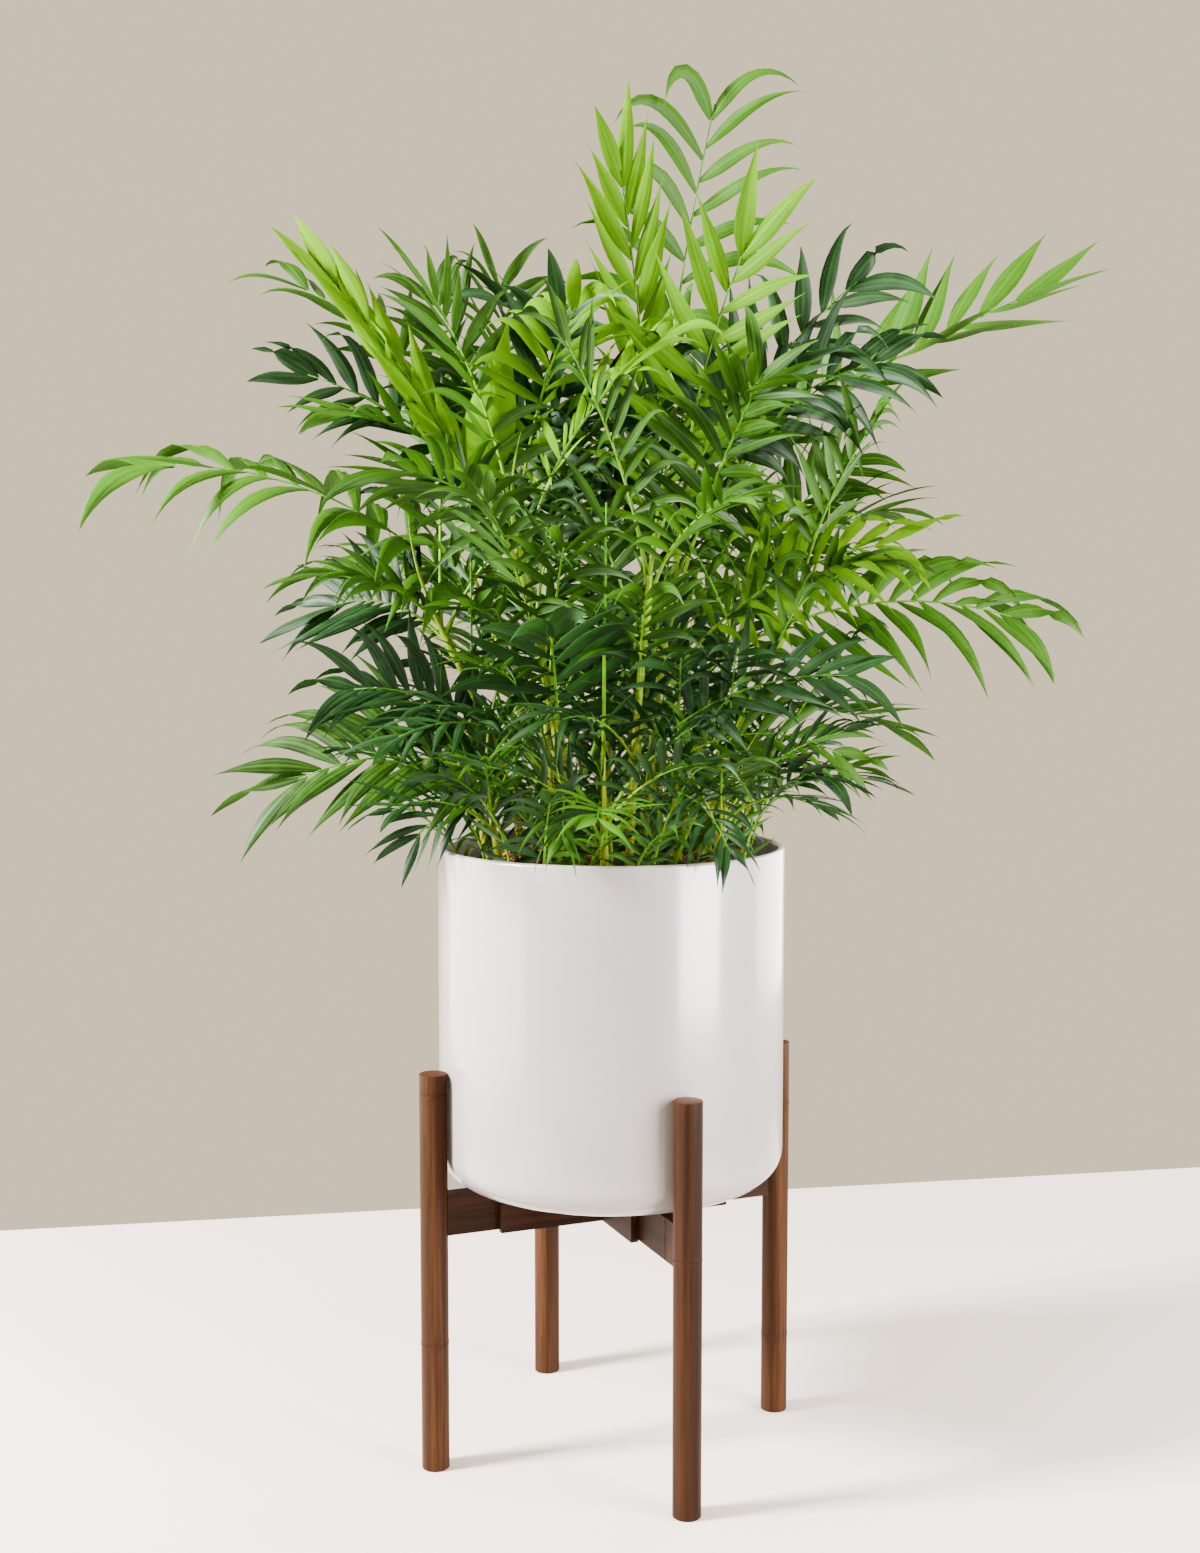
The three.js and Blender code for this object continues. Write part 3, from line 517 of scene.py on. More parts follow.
def build_pot():
    outer = POT["radius"]
    inner = outer - POT["wall"]
    heel = POT["heel"]
    lip = POT["wall"] / 2
    profile = [(0.0, POT_SEAT), (outer - heel - 0.02, POT_SEAT)]
    profile += arc_profile((outer - heel, POT_SEAT + heel), heel, -90, 0, 14)
    profile += [(outer, mix(POT_SEAT + heel, RIM - lip, share)) for share in (0.2, 0.4, 0.6, 0.8)]
    profile += arc_profile((outer - lip, RIM - lip), lip, 0, 180, 10)
    profile += [(inner, SOIL_TOP - 0.02), (inner, POT_SEAT + POT["base"] + heel / 2)]
    profile += [(inner - heel / 2, POT_SEAT + POT["base"]), (0.0, POT_SEAT + POT["base"])]
    bundle = Bundle()
    bundle.add(*turned(profile, ROUND["pot"]))
    bundle.piece("pot_white_cylinder", glaze_finish(), "glaze", ["pot"])


# The potting mix: an uneven top with bark chips lying in it
def soil_height(x, y):
    broad = noise.noise(Vector((x * 22, y * 22, 3.1)))
    small = noise.noise(Vector((x * 90, y * 90, 7.7)))
    edge = max(0.0, math.hypot(x, y) / POTTING_MIX["edge"] - 0.9) * 0.03
    return SOIL_TOP - 0.002 + broad * 0.003 + small * 0.0022 - edge


def chip(roll, where):
    """One bark chip: a small crooked block."""
    size = np.array([roll(0.003, 0.011), roll(0.002, 0.006), roll(0.0008, 0.0025)])
    corners = []
    for x in (-1, 1):
        for y in (-1, 1):
            for z in (-1, 1):
                corners.append([x * roll(0.3, 0.6), y * roll(0.3, 0.6), z * roll(0.3, 0.6)])
    turn = roll(0, 2 * math.pi)
    tilt = roll(-0.6, 0.6)
    level = np.array([[math.cos(turn), -math.sin(turn), 0], [math.sin(turn), math.cos(turn), 0], [0, 0, 1]])
    lean = np.array([[math.cos(tilt), 0, math.sin(tilt)], [0, 1, 0], [-math.sin(tilt), 0, math.cos(tilt)]])
    return (np.array(corners) * size) @ (level @ lean).T + where


CHIP_FACES = (
    (0, 1, 3), (0, 3, 2), (4, 6, 7), (4, 7, 5), (0, 4, 5), (0, 5, 1),
    (2, 3, 7), (2, 7, 6), (0, 2, 6), (0, 6, 4), (1, 5, 7), (1, 7, 3),
)


def build_soil():
    inner = POT["radius"] - POT["wall"] - GAP
    rings = POTTING_MIX["rings"]
    sectors = POTTING_MIX["sectors"]
    radii = [inner * k / rings for k in range(1, rings + 1)]
    points = [(0.0, 0.0, soil_height(0, 0))]
    for radius in radii:
        for s in range(sectors):
            a = 2 * math.pi * s / sectors
            x = radius * math.cos(a)
            y = radius * math.sin(a)
            points.append((x, y, soil_height(x, y)))
    points += [(x, y, SOIL_TOP - POTTING_MIX["skirt"]) for x, y, z in points[-sectors:]]
    faces = [(0, 1 + s, 1 + (s + 1) % sectors) for s in range(sectors)]
    for k in range(rings):
        row = 1 + k * sectors
        for s in range(sectors):
            after = (s + 1) % sectors
            faces.append((row + s, row + sectors + s, row + sectors + after))
            faces.append((row + s, row + sectors + after, row + after))
    bundle = Bundle("chip")
    bundle.add(np.array(points), faces, chip=0.2)
    roll = dice(POTTING_MIX["seed"])
    for _ in range(POTTING_MIX["chips"]):
        radius = inner * 0.965 * math.sqrt(roll(0, 1))
        turn = roll(0, 2 * math.pi)
        x = radius * math.cos(turn)
        y = radius * math.sin(turn)
        bundle.add(chip(roll, (x, y, soil_height(x, y) + roll(0, 0.0022))), CHIP_FACES, chip=roll(0, 1))
    bundle.piece("potting_mix", soil_finish(), "soil", ["soil"], sharp=35)


# The stand: round legs with knuckles, and the frame's own beams and arms with soft edges
def build_leg(side, number, material):
    angle = math.radians(STAND_TURN + 90 * number)
    centre = np.array([LEG_RING * math.cos(angle), LEG_RING * math.sin(angle), 0.0])
    radius = LEG["radius"]
    edge = LEG["edge"]
    knuckle = DOWELS[side][0]
    heights = set(np.linspace(edge, LEG["length"] - edge, ROWS))
    knots = [knuckle + k * KNUCKLE["spacing"] for k in (-1, 0, 1)]
    knots = [z for z in knots if KNUCKLE["end"] < z < LEG["length"] - KNUCKLE["end"]]
    for knot in knots:
        heights.update(knot + KNUCKLE["half"] * share for share in (-1, -0.5, -0.15, 0, 0.15, 0.5, 1))
    profile = [(0.0, 0.0), (radius - edge, 0.0), (radius - edge * 0.3, edge * 0.3)]
    for z in sorted(heights):
        near = max([0.0] + [1 - abs(z - knot) / KNUCKLE["half"] for knot in knots])
        profile.append((radius - KNUCKLE["swell"] * (1 - near), z))
    top = LEG["length"]
    profile += [(radius - edge * 0.3, top - edge * 0.3), (radius - edge, top), (0.0, top)]
    points, faces = turned(profile, ROUND["leg"])
    bundle = Bundle()
    bundle.add(points + centre, faces)
    bundle.piece("leg_round_" + side, material, "bamboo", ["leg_" + side], sharp=40)


def soften_edges(node, material):
    """The frame's own solid with a small bevel and the finish in place of its plain one."""
    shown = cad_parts[node]
    shown.data.materials.clear()
    shown.data.materials.append(material)
    bevel = shown.modifiers.new("soft_edges", "BEVEL")
    bevel.width = BEVEL["width"]
    bevel.segments = BEVEL["segments"]
    bevel.limit_method = "ANGLE"
    bevel.angle_limit = math.radians(BEVEL["angle"])


def build_stand():
    for number, side in enumerate(SIDES):
        build_leg(side, number, bamboo_finish("bamboo_leg_" + side, None, *DOWELS[side]))
    for way, (name, sides) in enumerate((("long", ("right", "left")), ("short", ("back", "front")))):
        material = bamboo_finish("bamboo_beam_" + name, STAND_TURN + 90 * way, *BEAMS)
        soften_edges("beam_" + name, material)
        for side in sides:
            soften_edges("arm_" + side, material)


# Canes: their feet follow a sunflower spiral, and the outer ones are shorter and lean further out
def grown_cane(i):
    share = math.sqrt((i + 0.5) / CANE["count"])
    roll = dice(CANE["seed"] + i)
    turn = CANE["turn"] + i * GOLDEN
    lean = CANE["lean"] * share + roll(-3, 3)
    length = CANE["tall"] - CANE["drop"] * share + roll(-CANE["vary"], CANE["vary"])
    points = [heading(turn, 0) * CANE["ring"] * share + [0, 0, SOIL_TOP + GAP]]
    for k in range(CANE["steps"]):
        rise = 90 - lean * (0.5 + 0.8 * (k / CANE["steps"]))
        points.append(points[k] + heading(turn, rise) * length / CANE["steps"])
    way = unit(points[-1] - points[-2])
    return {"owner": i, "points": points, "turn": turn, "way": way, "foot": points[-1] + way * GAP,
            "length": SHAFT["length"]}


def cane_at(cane, z):
    """The cane's centre at height z, below its tip, where fronds rise from the shaft instead."""
    points = cane["points"]
    height = min(max(z, points[0][2] + CANE["bare"]), points[-1][2] - SHAFT["below"])
    k = next(j for j in range(1, len(points)) if points[j][2] >= height)
    share = (height - points[k - 1][2]) / (points[k][2] - points[k - 1][2])
    return mix(points[k - 1], points[k], share)


# The outline's fronds, as in the part's source, with their leaflets in finer detail. fan scales the angle
# that leaflets stand at, and wide is their width as a share of their length. spray is a frond's place
# between the two greens of its tone. first scales its lowest leaflet on one side, and thick its stalk.
OUTLINE_SEED = 930
FRONT = (0, -1, 0.7)
ASIDE = (-0.2, -0.6, 0.8)
SKY = (0, -0.35, 1)


def shaped(name, tone, tip, start, arch, pairs, leaf, face=FRONT, **more):
    return {"name": name, "tone": tone, "tip": np.array(tip), "from": np.array(start), "arch": arch,
            "pairs": pairs, "leaf": leaf, "face": np.array(face), **more}


OUTLINE = (
    shaped("top", "mid", (0.092, 0.040, 1.206), (0.062, 0.020, 0.850), 4, 9, 0.124, droop=1.7, wide=0.115,
           spray=0.8),
    shaped("top_front", "bright", (0.112, -0.090, 1.060), (0.040, -0.030, 0.830), 12, 7, 0.104,
           droop=0.3, wide=0.17, spray=0.4),
    shaped("top_left", "bright", (0.008, -0.020, 1.134), (0.030, 0, 0.840), 6, 8, 0.100, fan=0.45,
           droop=0.2, wide=0.15, spray=0.5),
    shaped("right_high", "mid", (0.364, -0.020, 1.030), (0.080, 0, 0.800), 12, 10, 0.122, ASIDE,
           droop=0.15, wide=0.19, spray=0.9),
    shaped("right_wide", "mid", (0.342, -0.060, 0.752), (0.070, -0.020, 0.670), 33, 13, 0.120, droop=1.4,
           wide=0.12),
    shaped("right_bright", "bright", (0.226, -0.110, 0.812), (0.050, -0.060, 0.690), 24, 10, 0.092,
           droop=1.0, wide=0.115, spray=0.6),
    shaped("right_dark", "dark", (0.192, -0.140, 0.704), (0.040, -0.080, 0.630), 26, 9, 0.084),
    shaped("right_low", "mid", (0.196, -0.070, 0.634), (0.040, -0.050, 0.600), 42, 9, 0.078),
    shaped("left_wide", "mid", (-0.400, 0.010, 0.886), (-0.095, -0.010, 0.625), 38, 12, 0.136, SKY,
           droop=2.2, wide=0.13, spray=1.0),
    shaped("left_low", "mid", (-0.270, -0.060, 0.612), (-0.060, -0.050, 0.570), 36, 11, 0.112, wide=0.14),
    shaped("left_spear", "bright", (-0.240, -0.060, 1.040), (-0.080, -0.050, 0.770), 9, 10, 0.090, fan=0.2,
           droop=0.12, wide=0.21, first=1.9, spray=1.0, thick=1.7),
    shaped("left_high", "mid", (-0.282, 0.050, 1.050), (-0.110, 0.030, 0.850), 20, 10, 0.092, SKY),
    shaped("left_upright", "mid", (-0.160, 0.060, 1.040), (-0.110, 0.040, 0.840), 6, 9, 0.090, wide=0.15),
    shaped("left_dark", "dark", (-0.262, -0.030, 0.960), (-0.120, -0.020, 0.820), 22, 9, 0.084, wide=0.16),
    shaped("left_mid", "dark", (-0.246, 0, 0.762), (-0.110, 0.010, 0.700), 36, 11, 0.096),
    shaped("left_under", "dark", (-0.220, -0.070, 0.690), (-0.100, -0.050, 0.620), 36, 10, 0.092),
    shaped("front_broad", "dark", (-0.050, -0.200, 0.740), (-0.040, -0.080, 0.620), 24, 6, 0.104, SKY,
           fan=1.15, wide=0.19),
    shaped("front_fine", "mid", (-0.100, -0.190, 0.845), (-0.070, -0.080, 0.690), 16, 11, 0.084, SKY,
           droop=1.4, wide=0.1),
    shaped("front_rib", "mid", (0.118, -0.180, 0.942), (0.030, -0.080, 0.740), 10, 10, 0.094, wide=0.12),
    shaped("right_crest", "dark", (0.204, -0.080, 1.030), (0.100, -0.050, 0.850), 14, 8, 0.098, wide=0.15),
    shaped("right_arch", "dark", (0.222, -0.100, 0.962), (0.080, -0.070, 0.800), 30, 10, 0.104, droop=1.3),
    shaped("right_mid", "mid", (0.210, 0.010, 0.890), (0.090, 0, 0.720), 22, 11, 0.090),
    shaped("crest_mid", "dark", (-0.040, -0.050, 1.010), (-0.020, -0.040, 0.830), 8, 8, 0.086, wide=0.17),
    shaped("over_left", "dark", (-0.170, -0.060, 0.560), (-0.060, -0.040, 0.590), 34, 8, 0.066, wide=0.11),
    shaped("over_front", "mid", (-0.040, -0.166, 0.572), (-0.010, -0.060, 0.590), 30, 8, 0.064, droop=1.8,
           wide=0.11),
    shaped("over_right", "dark", (0.096, -0.158, 0.560), (0.040, -0.060, 0.590), 40, 8, 0.066, droop=1.3,
           wide=0.11),
)


def arc_of(start, tip, arch):
    """A frond runs as an arc in an upright plane from its stem to its rib's tip."""
    chord = tip - start
    azimuth = math.degrees(math.atan2(chord[1], chord[0]))
    rise = math.degrees(math.atan2(chord[2], math.hypot(chord[0], chord[1])))
    length = np.linalg.norm(chord) * math.radians(arch) / math.sin(math.radians(arch))
    points = [start]
    for k in range(STALK["steps"]):
        share = (k + 0.5) / STALK["steps"]
        points.append(points[k] + heading(azimuth, rise + arch * (1 - 2 * share)) * length / STALK["steps"])
    return {"azimuth": azimuth, "rise": rise, "arch": arch, "length": length, "points": np.array(points)}


def rib_at(arc, roll, share):
    """The place, direction, right hand and upper side of the rib at a share of its length."""
    k = min(int(share * STALK["steps"]), STALK["steps"] - 1)
    at = mix(arc["points"][k], arc["points"][k + 1], share * STALK["steps"] - k)
    way = heading(arc["azimuth"], arc["rise"] + arc["arch"] * (1 - 2 * share))
    level = heading(arc["azimuth"] - 90, 0)
    a = math.radians(roll)
    side = level * math.cos(a) + np.cross(way, level) * math.sin(a)
    return at, way, side, np.cross(side, way)


def roll_to(arc, face):
    """The roll about its rib with which the middle of a blade looks most nearly the given way."""
    _, way, _, up = rib_at(arc, 0, 0.6)
    return math.degrees(math.atan2(np.cross(way, up).dot(face), up.dot(face)))


class Thicket:
    """Every cane, shaft and stalk that stands, as segments that later stalks keep clear of."""

    def __init__(self):
        self.low = np.zeros((0, 3))
        self.high = np.zeros((0, 3))
        self.radius = np.zeros(0)
        self.owner = np.zeros(0, int)

    def keep(self, owner, points, radius):
        points = np.asarray(points)
        self.low = np.concatenate([self.low, points[:-1]])
        self.high = np.concatenate([self.high, points[1:]])
        self.radius = np.append(self.radius, np.full(len(points) - 1, radius))
        self.owner = np.append(self.owner, np.full(len(points) - 1, owner))

    def is_clear(self, points, owner, foot_length):
        """Near its foot, up to foot_length, a stalk may touch what belongs to its own stem."""
        points = np.asarray(points)
        step = np.linalg.norm(points[1] - points[0])
        closer = np.empty((2 * len(points) - 1, 3))
        closer[::2] = points
        closer[1::2] = (points[:-1] + points[1:]) / 2
        at_foot = np.arange(len(closer)) * step / 2 < foot_length
        if not clears_pot(closer[~at_foot], *POT_ROOM["stalk"]).all():
            return False
        run = self.high - self.low
        away = closer[:, None, :] - self.low
        share = np.clip((away * run).sum(2) / (run * run).sum(1), 0, 1)
        distance = np.linalg.norm(away - share[..., None] * run, axis=2)
        own = self.owner == owner
        need = STALK["radius"] + self.radius + np.where(own, STALK["own"], STALK["clear"])
        return bool(((distance >= need) | (at_foot[:, None] & own)).all())


def clears_pot(points, aside, above):
    """Which of the points are outside the pot, or over its wall or its soil."""
    radius = np.hypot(points[:, 0], points[:, 1])
    floor = np.where(radius > POT["radius"] - POT["wall"] - aside, RIM, SOIL_TOP) + above
    return (radius > POT["radius"] + aside) | (points[:, 2] > floor)


thicket = Thicket()
canes = [grown_cane(i) for i in range(CANE["count"])]
stems = list(canes)
fronds = []


def keep_shaft(stem):
    top = stem["foot"] + stem["way"] * stem["length"]
    thicket.keep(stem["owner"], [stem["foot"], top], SHAFT["radius"] + 0.001)


# What a frond has where its rule says nothing else: lift is how far its leaflets rise from its plane, and
# bare the share of its stalk with no leaflets
PLAIN_FROND = {"fan": 1, "droop": 0.7, "wide": 0.13, "lift": 22, "first": 1, "bare": 0.3}


def keep_frond(kind, frond):
    fronds.append({"kind": kind, **PLAIN_FROND, **frond})
    thicket.keep(frond["owner"], frond["arc"]["points"], STALK["radius"])


def shaped_frond(row, cane, z):
    """An outline frond from the cane at height z, or from its shaft above the cane's tip."""
    above = z - cane["points"][-1][2]
    if above > -SHAFT["below"]:
        up = min(max(above, SHAFT["low"]), cane["length"] * SHAFT["high"])
        start = cane["foot"] + cane["way"] * up
        root = start
        foot_length = cane["length"]
    else:
        root = cane_at(cane, z)
        out = unit((row["tip"] - root) * [1, 1, 0])
        start = root + out * STALK["start"]
        foot_length = STALK["foot"]
    arc = arc_of(start, row["tip"], row["arch"])
    frond = {**row, "arc": arc, "root": root, "roll": roll_to(arc, row["face"]), "owner": cane["owner"]}
    return frond, foot_length


# How far a frond may slide up or down its cane, and how many of the nearest canes it may stand on
SLIDES = (0, 0.009, -0.009, 0.018, -0.018, 0.027, -0.027, 0.036, -0.036, 0.048, -0.048, 0.060, -0.060)
NEAR_CANES = 5


def grow_shaped_frond(row, number):
    height = row["from"][2]
    near = sorted(canes, key=lambda cane: np.linalg.norm(cane_at(cane, height) - row["from"]))
    for cane in near[:NEAR_CANES]:
        for slide in SLIDES:
            frond, foot_length = shaped_frond(row, cane, height + slide)
            if thicket.is_clear(frond["arc"]["points"], cane["owner"], foot_length):
                keep_frond("shaped", {**frond, "seed": OUTLINE_SEED + number})
                return


def grow_fan(kind, stem, count, seed, frond_at):
    """A stem's own fronds, each turned aside in small steps until its arc is clear, or else left out."""
    roll = dice(seed)
    for j in range(count):
        plan = frond_at(j, roll)
        start = stem["foot"] + stem["way"] * stem["length"] * plan["height"]
        for t in range(FAN["tries"]):
            aside = (1 if t % 2 else -1) * math.ceil(t / 2) * FAN["turn"]
            way = heading(plan["azimuth"] + aside, plan["rise"])
            tip = start + way * plan["reach"]
            while math.hypot(tip[0], tip[1]) > CROWN["spread"]:
                tip = tip - way * FAN["pull"]
            arc = arc_of(start, tip, plan["arch"])
            foot_length = stem["length"] * (1 - plan["height"]) + FAN["foot"]
            if thicket.is_clear(arc["points"], stem["owner"], foot_length):
                frond = {**plan, "arc": arc, "root": start, "owner": stem["owner"]}
                keep_frond(kind, {**frond, "seed": FAN["leaf_seeds"] * stem["owner"] + j})
                break


def grow_crown(cane):
    """A crown's fronds stand a golden angle apart; the lower ones spread further."""
    def frond_at(j, roll):
        share = j / (CROWN["fronds"] - 1)
        return {
            "height": 0.3 + 0.44 * share,
            "azimuth": cane["turn"] + j * GOLDEN + roll(-25, 25),
            "rise": mix(34, 72, share) + roll(-8, 8),
            "reach": mix(0.200, 0.226, share) + roll(-0.020, 0.020),
            "arch": mix(32, 12, share),
            "droop": roll(0.6, 1.4),
            "roll": roll(-20, 20),
            "leaf": roll(0.090, 0.106),
            "pairs": 10,
            "wide": mix(0.09, 0.125, (cane["owner"] * 5 + j) % 7 / 6),
            "tone": "bright" if (cane["owner"] * 3 + j) % 9 == 4 else ("mid", "dark", "mid")[j],
        }

    grow_fan("crown", cane, CROWN["fronds"], CROWN["seed"] + cane["owner"], frond_at)


def grow_tuft(ring, i):
    """A young stem on the potting mix."""
    owner = len(stems)
    roll = dice(TUFT["seed"] + owner)
    length = ring["height"] * roll(0.8, 1.2)
    for t in range(TUFT["tries"]):
        turn = ring["turn"] + i * 360 / ring["count"] + t * TUFT["turn"]
        foot = heading(turn, 0) * ring["ring"] + [0, 0, SOIL_TOP + GAP]
        way = heading(turn, 90 - ring["lean"])
        line = [foot + way * length * share for share in (0.2, 0.4, 0.6, 0.8, 1)]
        if thicket.is_clear(line, owner, 0):
            stems.append({"owner": owner, "ring": ring, "turn": turn, "way": way, "foot": foot,
                          "length": length})
            keep_shaft(stems[-1])
            return


def grow_tuft_fronds(tuft):
    ring = tuft["ring"]

    def frond_at(j, roll):
        aside = abs(j - 2) / 2
        return {
            "height": 0.5 + 0.1 * j,
            "azimuth": tuft["turn"] + (j - 2) * ring["spread"] + roll(-12, 12),
            "rise": mix(12, 52, aside) + roll(-8, 8),
            "reach": ring["reach"] * mix(1, 0.86, aside) * roll(0.88, 1.12),
            "arch": mix(32, 18, aside),
            "droop": roll(0.5, 0.9),
            "roll": roll(-15, 15),
            "leaf": ring["leaf"] * roll(0.9, 1.12),
            "pairs": ring["pairs"] + 3,
            "wide": 0.1,
            "tone": ("dark", "mid", "dark")[(tuft["owner"] + j) % 3],
        }

    grow_fan("tuft", tuft, TUFT["fronds"], TUFT["seed"] + tuft["owner"], frond_at)


def grow_inner_frond(n):
    """A smaller frond inside the crown, which the solids leave to the finer detail."""
    cane = canes[n * 5 % CANE["count"]]
    roll = dice(INNER["seed"] + n)
    share = (n + 0.5) / INNER["count"]
    z = mix(SOIL_TOP + INNER["low"], cane["points"][-1][2], share)
    root = cane_at(cane, z)
    rise = mix(12, 66, share) + roll(-12, 12)
    reach = mix(0.125, 0.200, share) + roll(-0.02, 0.02)
    azimuth = n * GOLDEN + roll(-20, 20)
    for t in range(INNER["tries"]):
        way = heading(azimuth + t * INNER["turn"], rise)
        tip = root + way * reach
        while math.hypot(tip[0], tip[1]) > INNER["spread"]:
            tip = tip - way * FAN["pull"]
        arc = arc_of(root, tip, mix(30, 14, share))
        if thicket.is_clear(arc["points"], cane["owner"], INNER["foot"]):
            tone = "dark" if share < 0.45 or n % 3 == 0 else "mid"
            keep_frond("inner", {
                "arc": arc, "root": root, "owner": cane["owner"], "roll": roll(-25, 25), "tone": tone,
                "pairs": 5 + n % 3, "leaf": roll(0.068, 0.094), "wide": roll(0.08, 0.125),
                "droop": roll(0.6, 1.5), "seed": INNER["leaf_seed"] + n,
            })
            return


def grow_from_mix(kind, rule, n):
    """A slim young cane with one frond at its top, or a small spray, that rises from the potting mix."""
    roll = dice(rule["seed"] + n)
    share = math.sqrt((n + 0.5) / rule["count"])
    turn = n * GOLDEN + rule["start"]
    foot = heading(turn, 0) * rule["ring"] * share + [0, 0, SOIL_TOP - SUNK]
    rise = 90 - mix(*rule["lean"], share)
    for t in range(rule["tries"]):
        azimuth = turn + roll(-rule["aside"], rule["aside"]) + t * rule["turn"]
        way = heading(azimuth, rise + roll(-rule["sway"], rule["sway"]))
        arc = arc_of(foot, foot + way * roll(*rule["length"]), roll(*rule["arch"]))
        if thicket.is_clear(arc["points"], rule["owner"], rule["foot"]):
            keep_frond(kind, {
                "arc": arc, "root": foot, "owner": rule["owner"] - n,
                "roll": roll(-rule["roll"], rule["roll"]), "leaf": roll(*rule["leaf"]),
                "wide": roll(*rule["wide"]), "droop": roll(*rule["droop"]),
                "pairs": rule["pairs"], "bare": rule["bare"], "thick": rule["thick"],
                "tone": rule["tones"][n % len(rule["tones"])], "seed": rule["leaf_seed"] + n,
            })
            return


# The order in which they find their places: as in the part's source, and then the finer ones
for cane in canes:
    thicket.keep(cane["owner"], cane["points"], CANE["radius"])
for cane in canes:
    keep_shaft(cane)
for number, row in enumerate(OUTLINE):
    grow_shaped_frond(row, number)
for cane in canes:
    grow_crown(cane)
for ring in TUFT_RINGS:
    for i in range(ring["count"]):
        grow_tuft(ring, i)
tufts = stems[CANE["count"]:]
for tuft in tufts:
    grow_tuft_fronds(tuft)
for n in range(SLIM["count"]):
    grow_from_mix("slim", SLIM, n)
for n in range(INNER["count"]):
    grow_inner_frond(n)
for n in range(SEEDLING["count"]):
    grow_from_mix("seedling", SEEDLING, n)


# Leaflets: folded, pleated and bent blades, each a grid of faces with its own outline
def blade_faces(rows, columns):
    faces = []
    for r in range(rows - 1):
        for c in range(columns - 1):
            a = r * columns + c
            b = a + columns
            faces.append((a, a + 1, b + 1))
            faces.append((a, b + 1, b))
    tip = rows * columns
    faces += [(tip - columns + c, tip - columns + c + 1, tip) for c in range(columns - 1)]
    return np.array(faces)


# Rows and columns of corners in a leaflet, and the length of leaflet under which the small grid is used
GRIDS = {"fine": (10, 7), "small": (7, 5)}
SMALL_LEAF = 0.075
BLADE_FACES = {grid: blade_faces(*size) for grid, size in GRIDS.items()}
DOWN = np.array([0, 0, -1.0])


def blade_points(root, way, rib_way, hand, leaf, grid):
    """The corners of a leaflet, with where they are across and along it."""
    rows, columns = GRIDS[grid]
    share = np.linspace(0, 1, rows + 1)
    bend = DOWN * (leaf["droop"] * 1.25 * share ** leaf["late"])[:, None]
    ways = unit(way + bend + rib_way * (leaf["sweep"] * share)[:, None])
    steps = (ways[:-1] + ways[1:]) / 2 * leaf["length"] / rows
    spine = root + np.concatenate([np.zeros((1, 3)), np.cumsum(steps, axis=0)])
    across = unit(rib_way - ways * (ways @ rib_way)[:, None])
    face = np.cross(ways, across) * hand
    twist = (leaf["twist"] * share)[:, None]
    side = across * np.cos(twist) + face * np.sin(twist)
    over = face * np.cos(twist) - across * np.sin(twist)
    belly = leaf["belly"]
    opening = 0.24 + 0.76 * np.sin(np.clip(share / belly, 0, 1) * math.pi / 2)
    closing = np.cos(np.clip((share - belly) / (1 - belly), 0, 1) * math.pi / 2) ** leaf["taper"]
    half = leaf["width"] / 2 * np.where(share < belly, opening, closing)
    u = np.linspace(-1, 1, columns)
    fold = -leaf["fold"] * np.abs(u) ** 1.3 + 0.08 * np.cos(3 * math.pi * u)
    body = spine[:-1, None] + side[:-1, None] * (half[:-1, None] * u)[..., None]
    body = body + over[:-1, None] * (half[:-1, None] * fold)[..., None]
    points = np.concatenate([body.reshape(-1, 3), spine[-1:]])
    place_across = np.append(np.tile(u / 2 + 0.5, rows), 0.5)
    place_along = np.append(np.repeat(share[:-1], columns), 1.0)
    return points, place_across, place_along


# What is added to a leaflet's droop, and what scales its length, until it is clear of the pot. Its first
# corners, next to the rib, aren't tested.
LEAF_TRIES = ((0, 1), (-0.6, 1), (-1.2, 0.95), (0.8, 0.9), (-0.8, 0.7), (0, 0.5))
AT_RIB = 8
BROAD_LEAF = 0.09


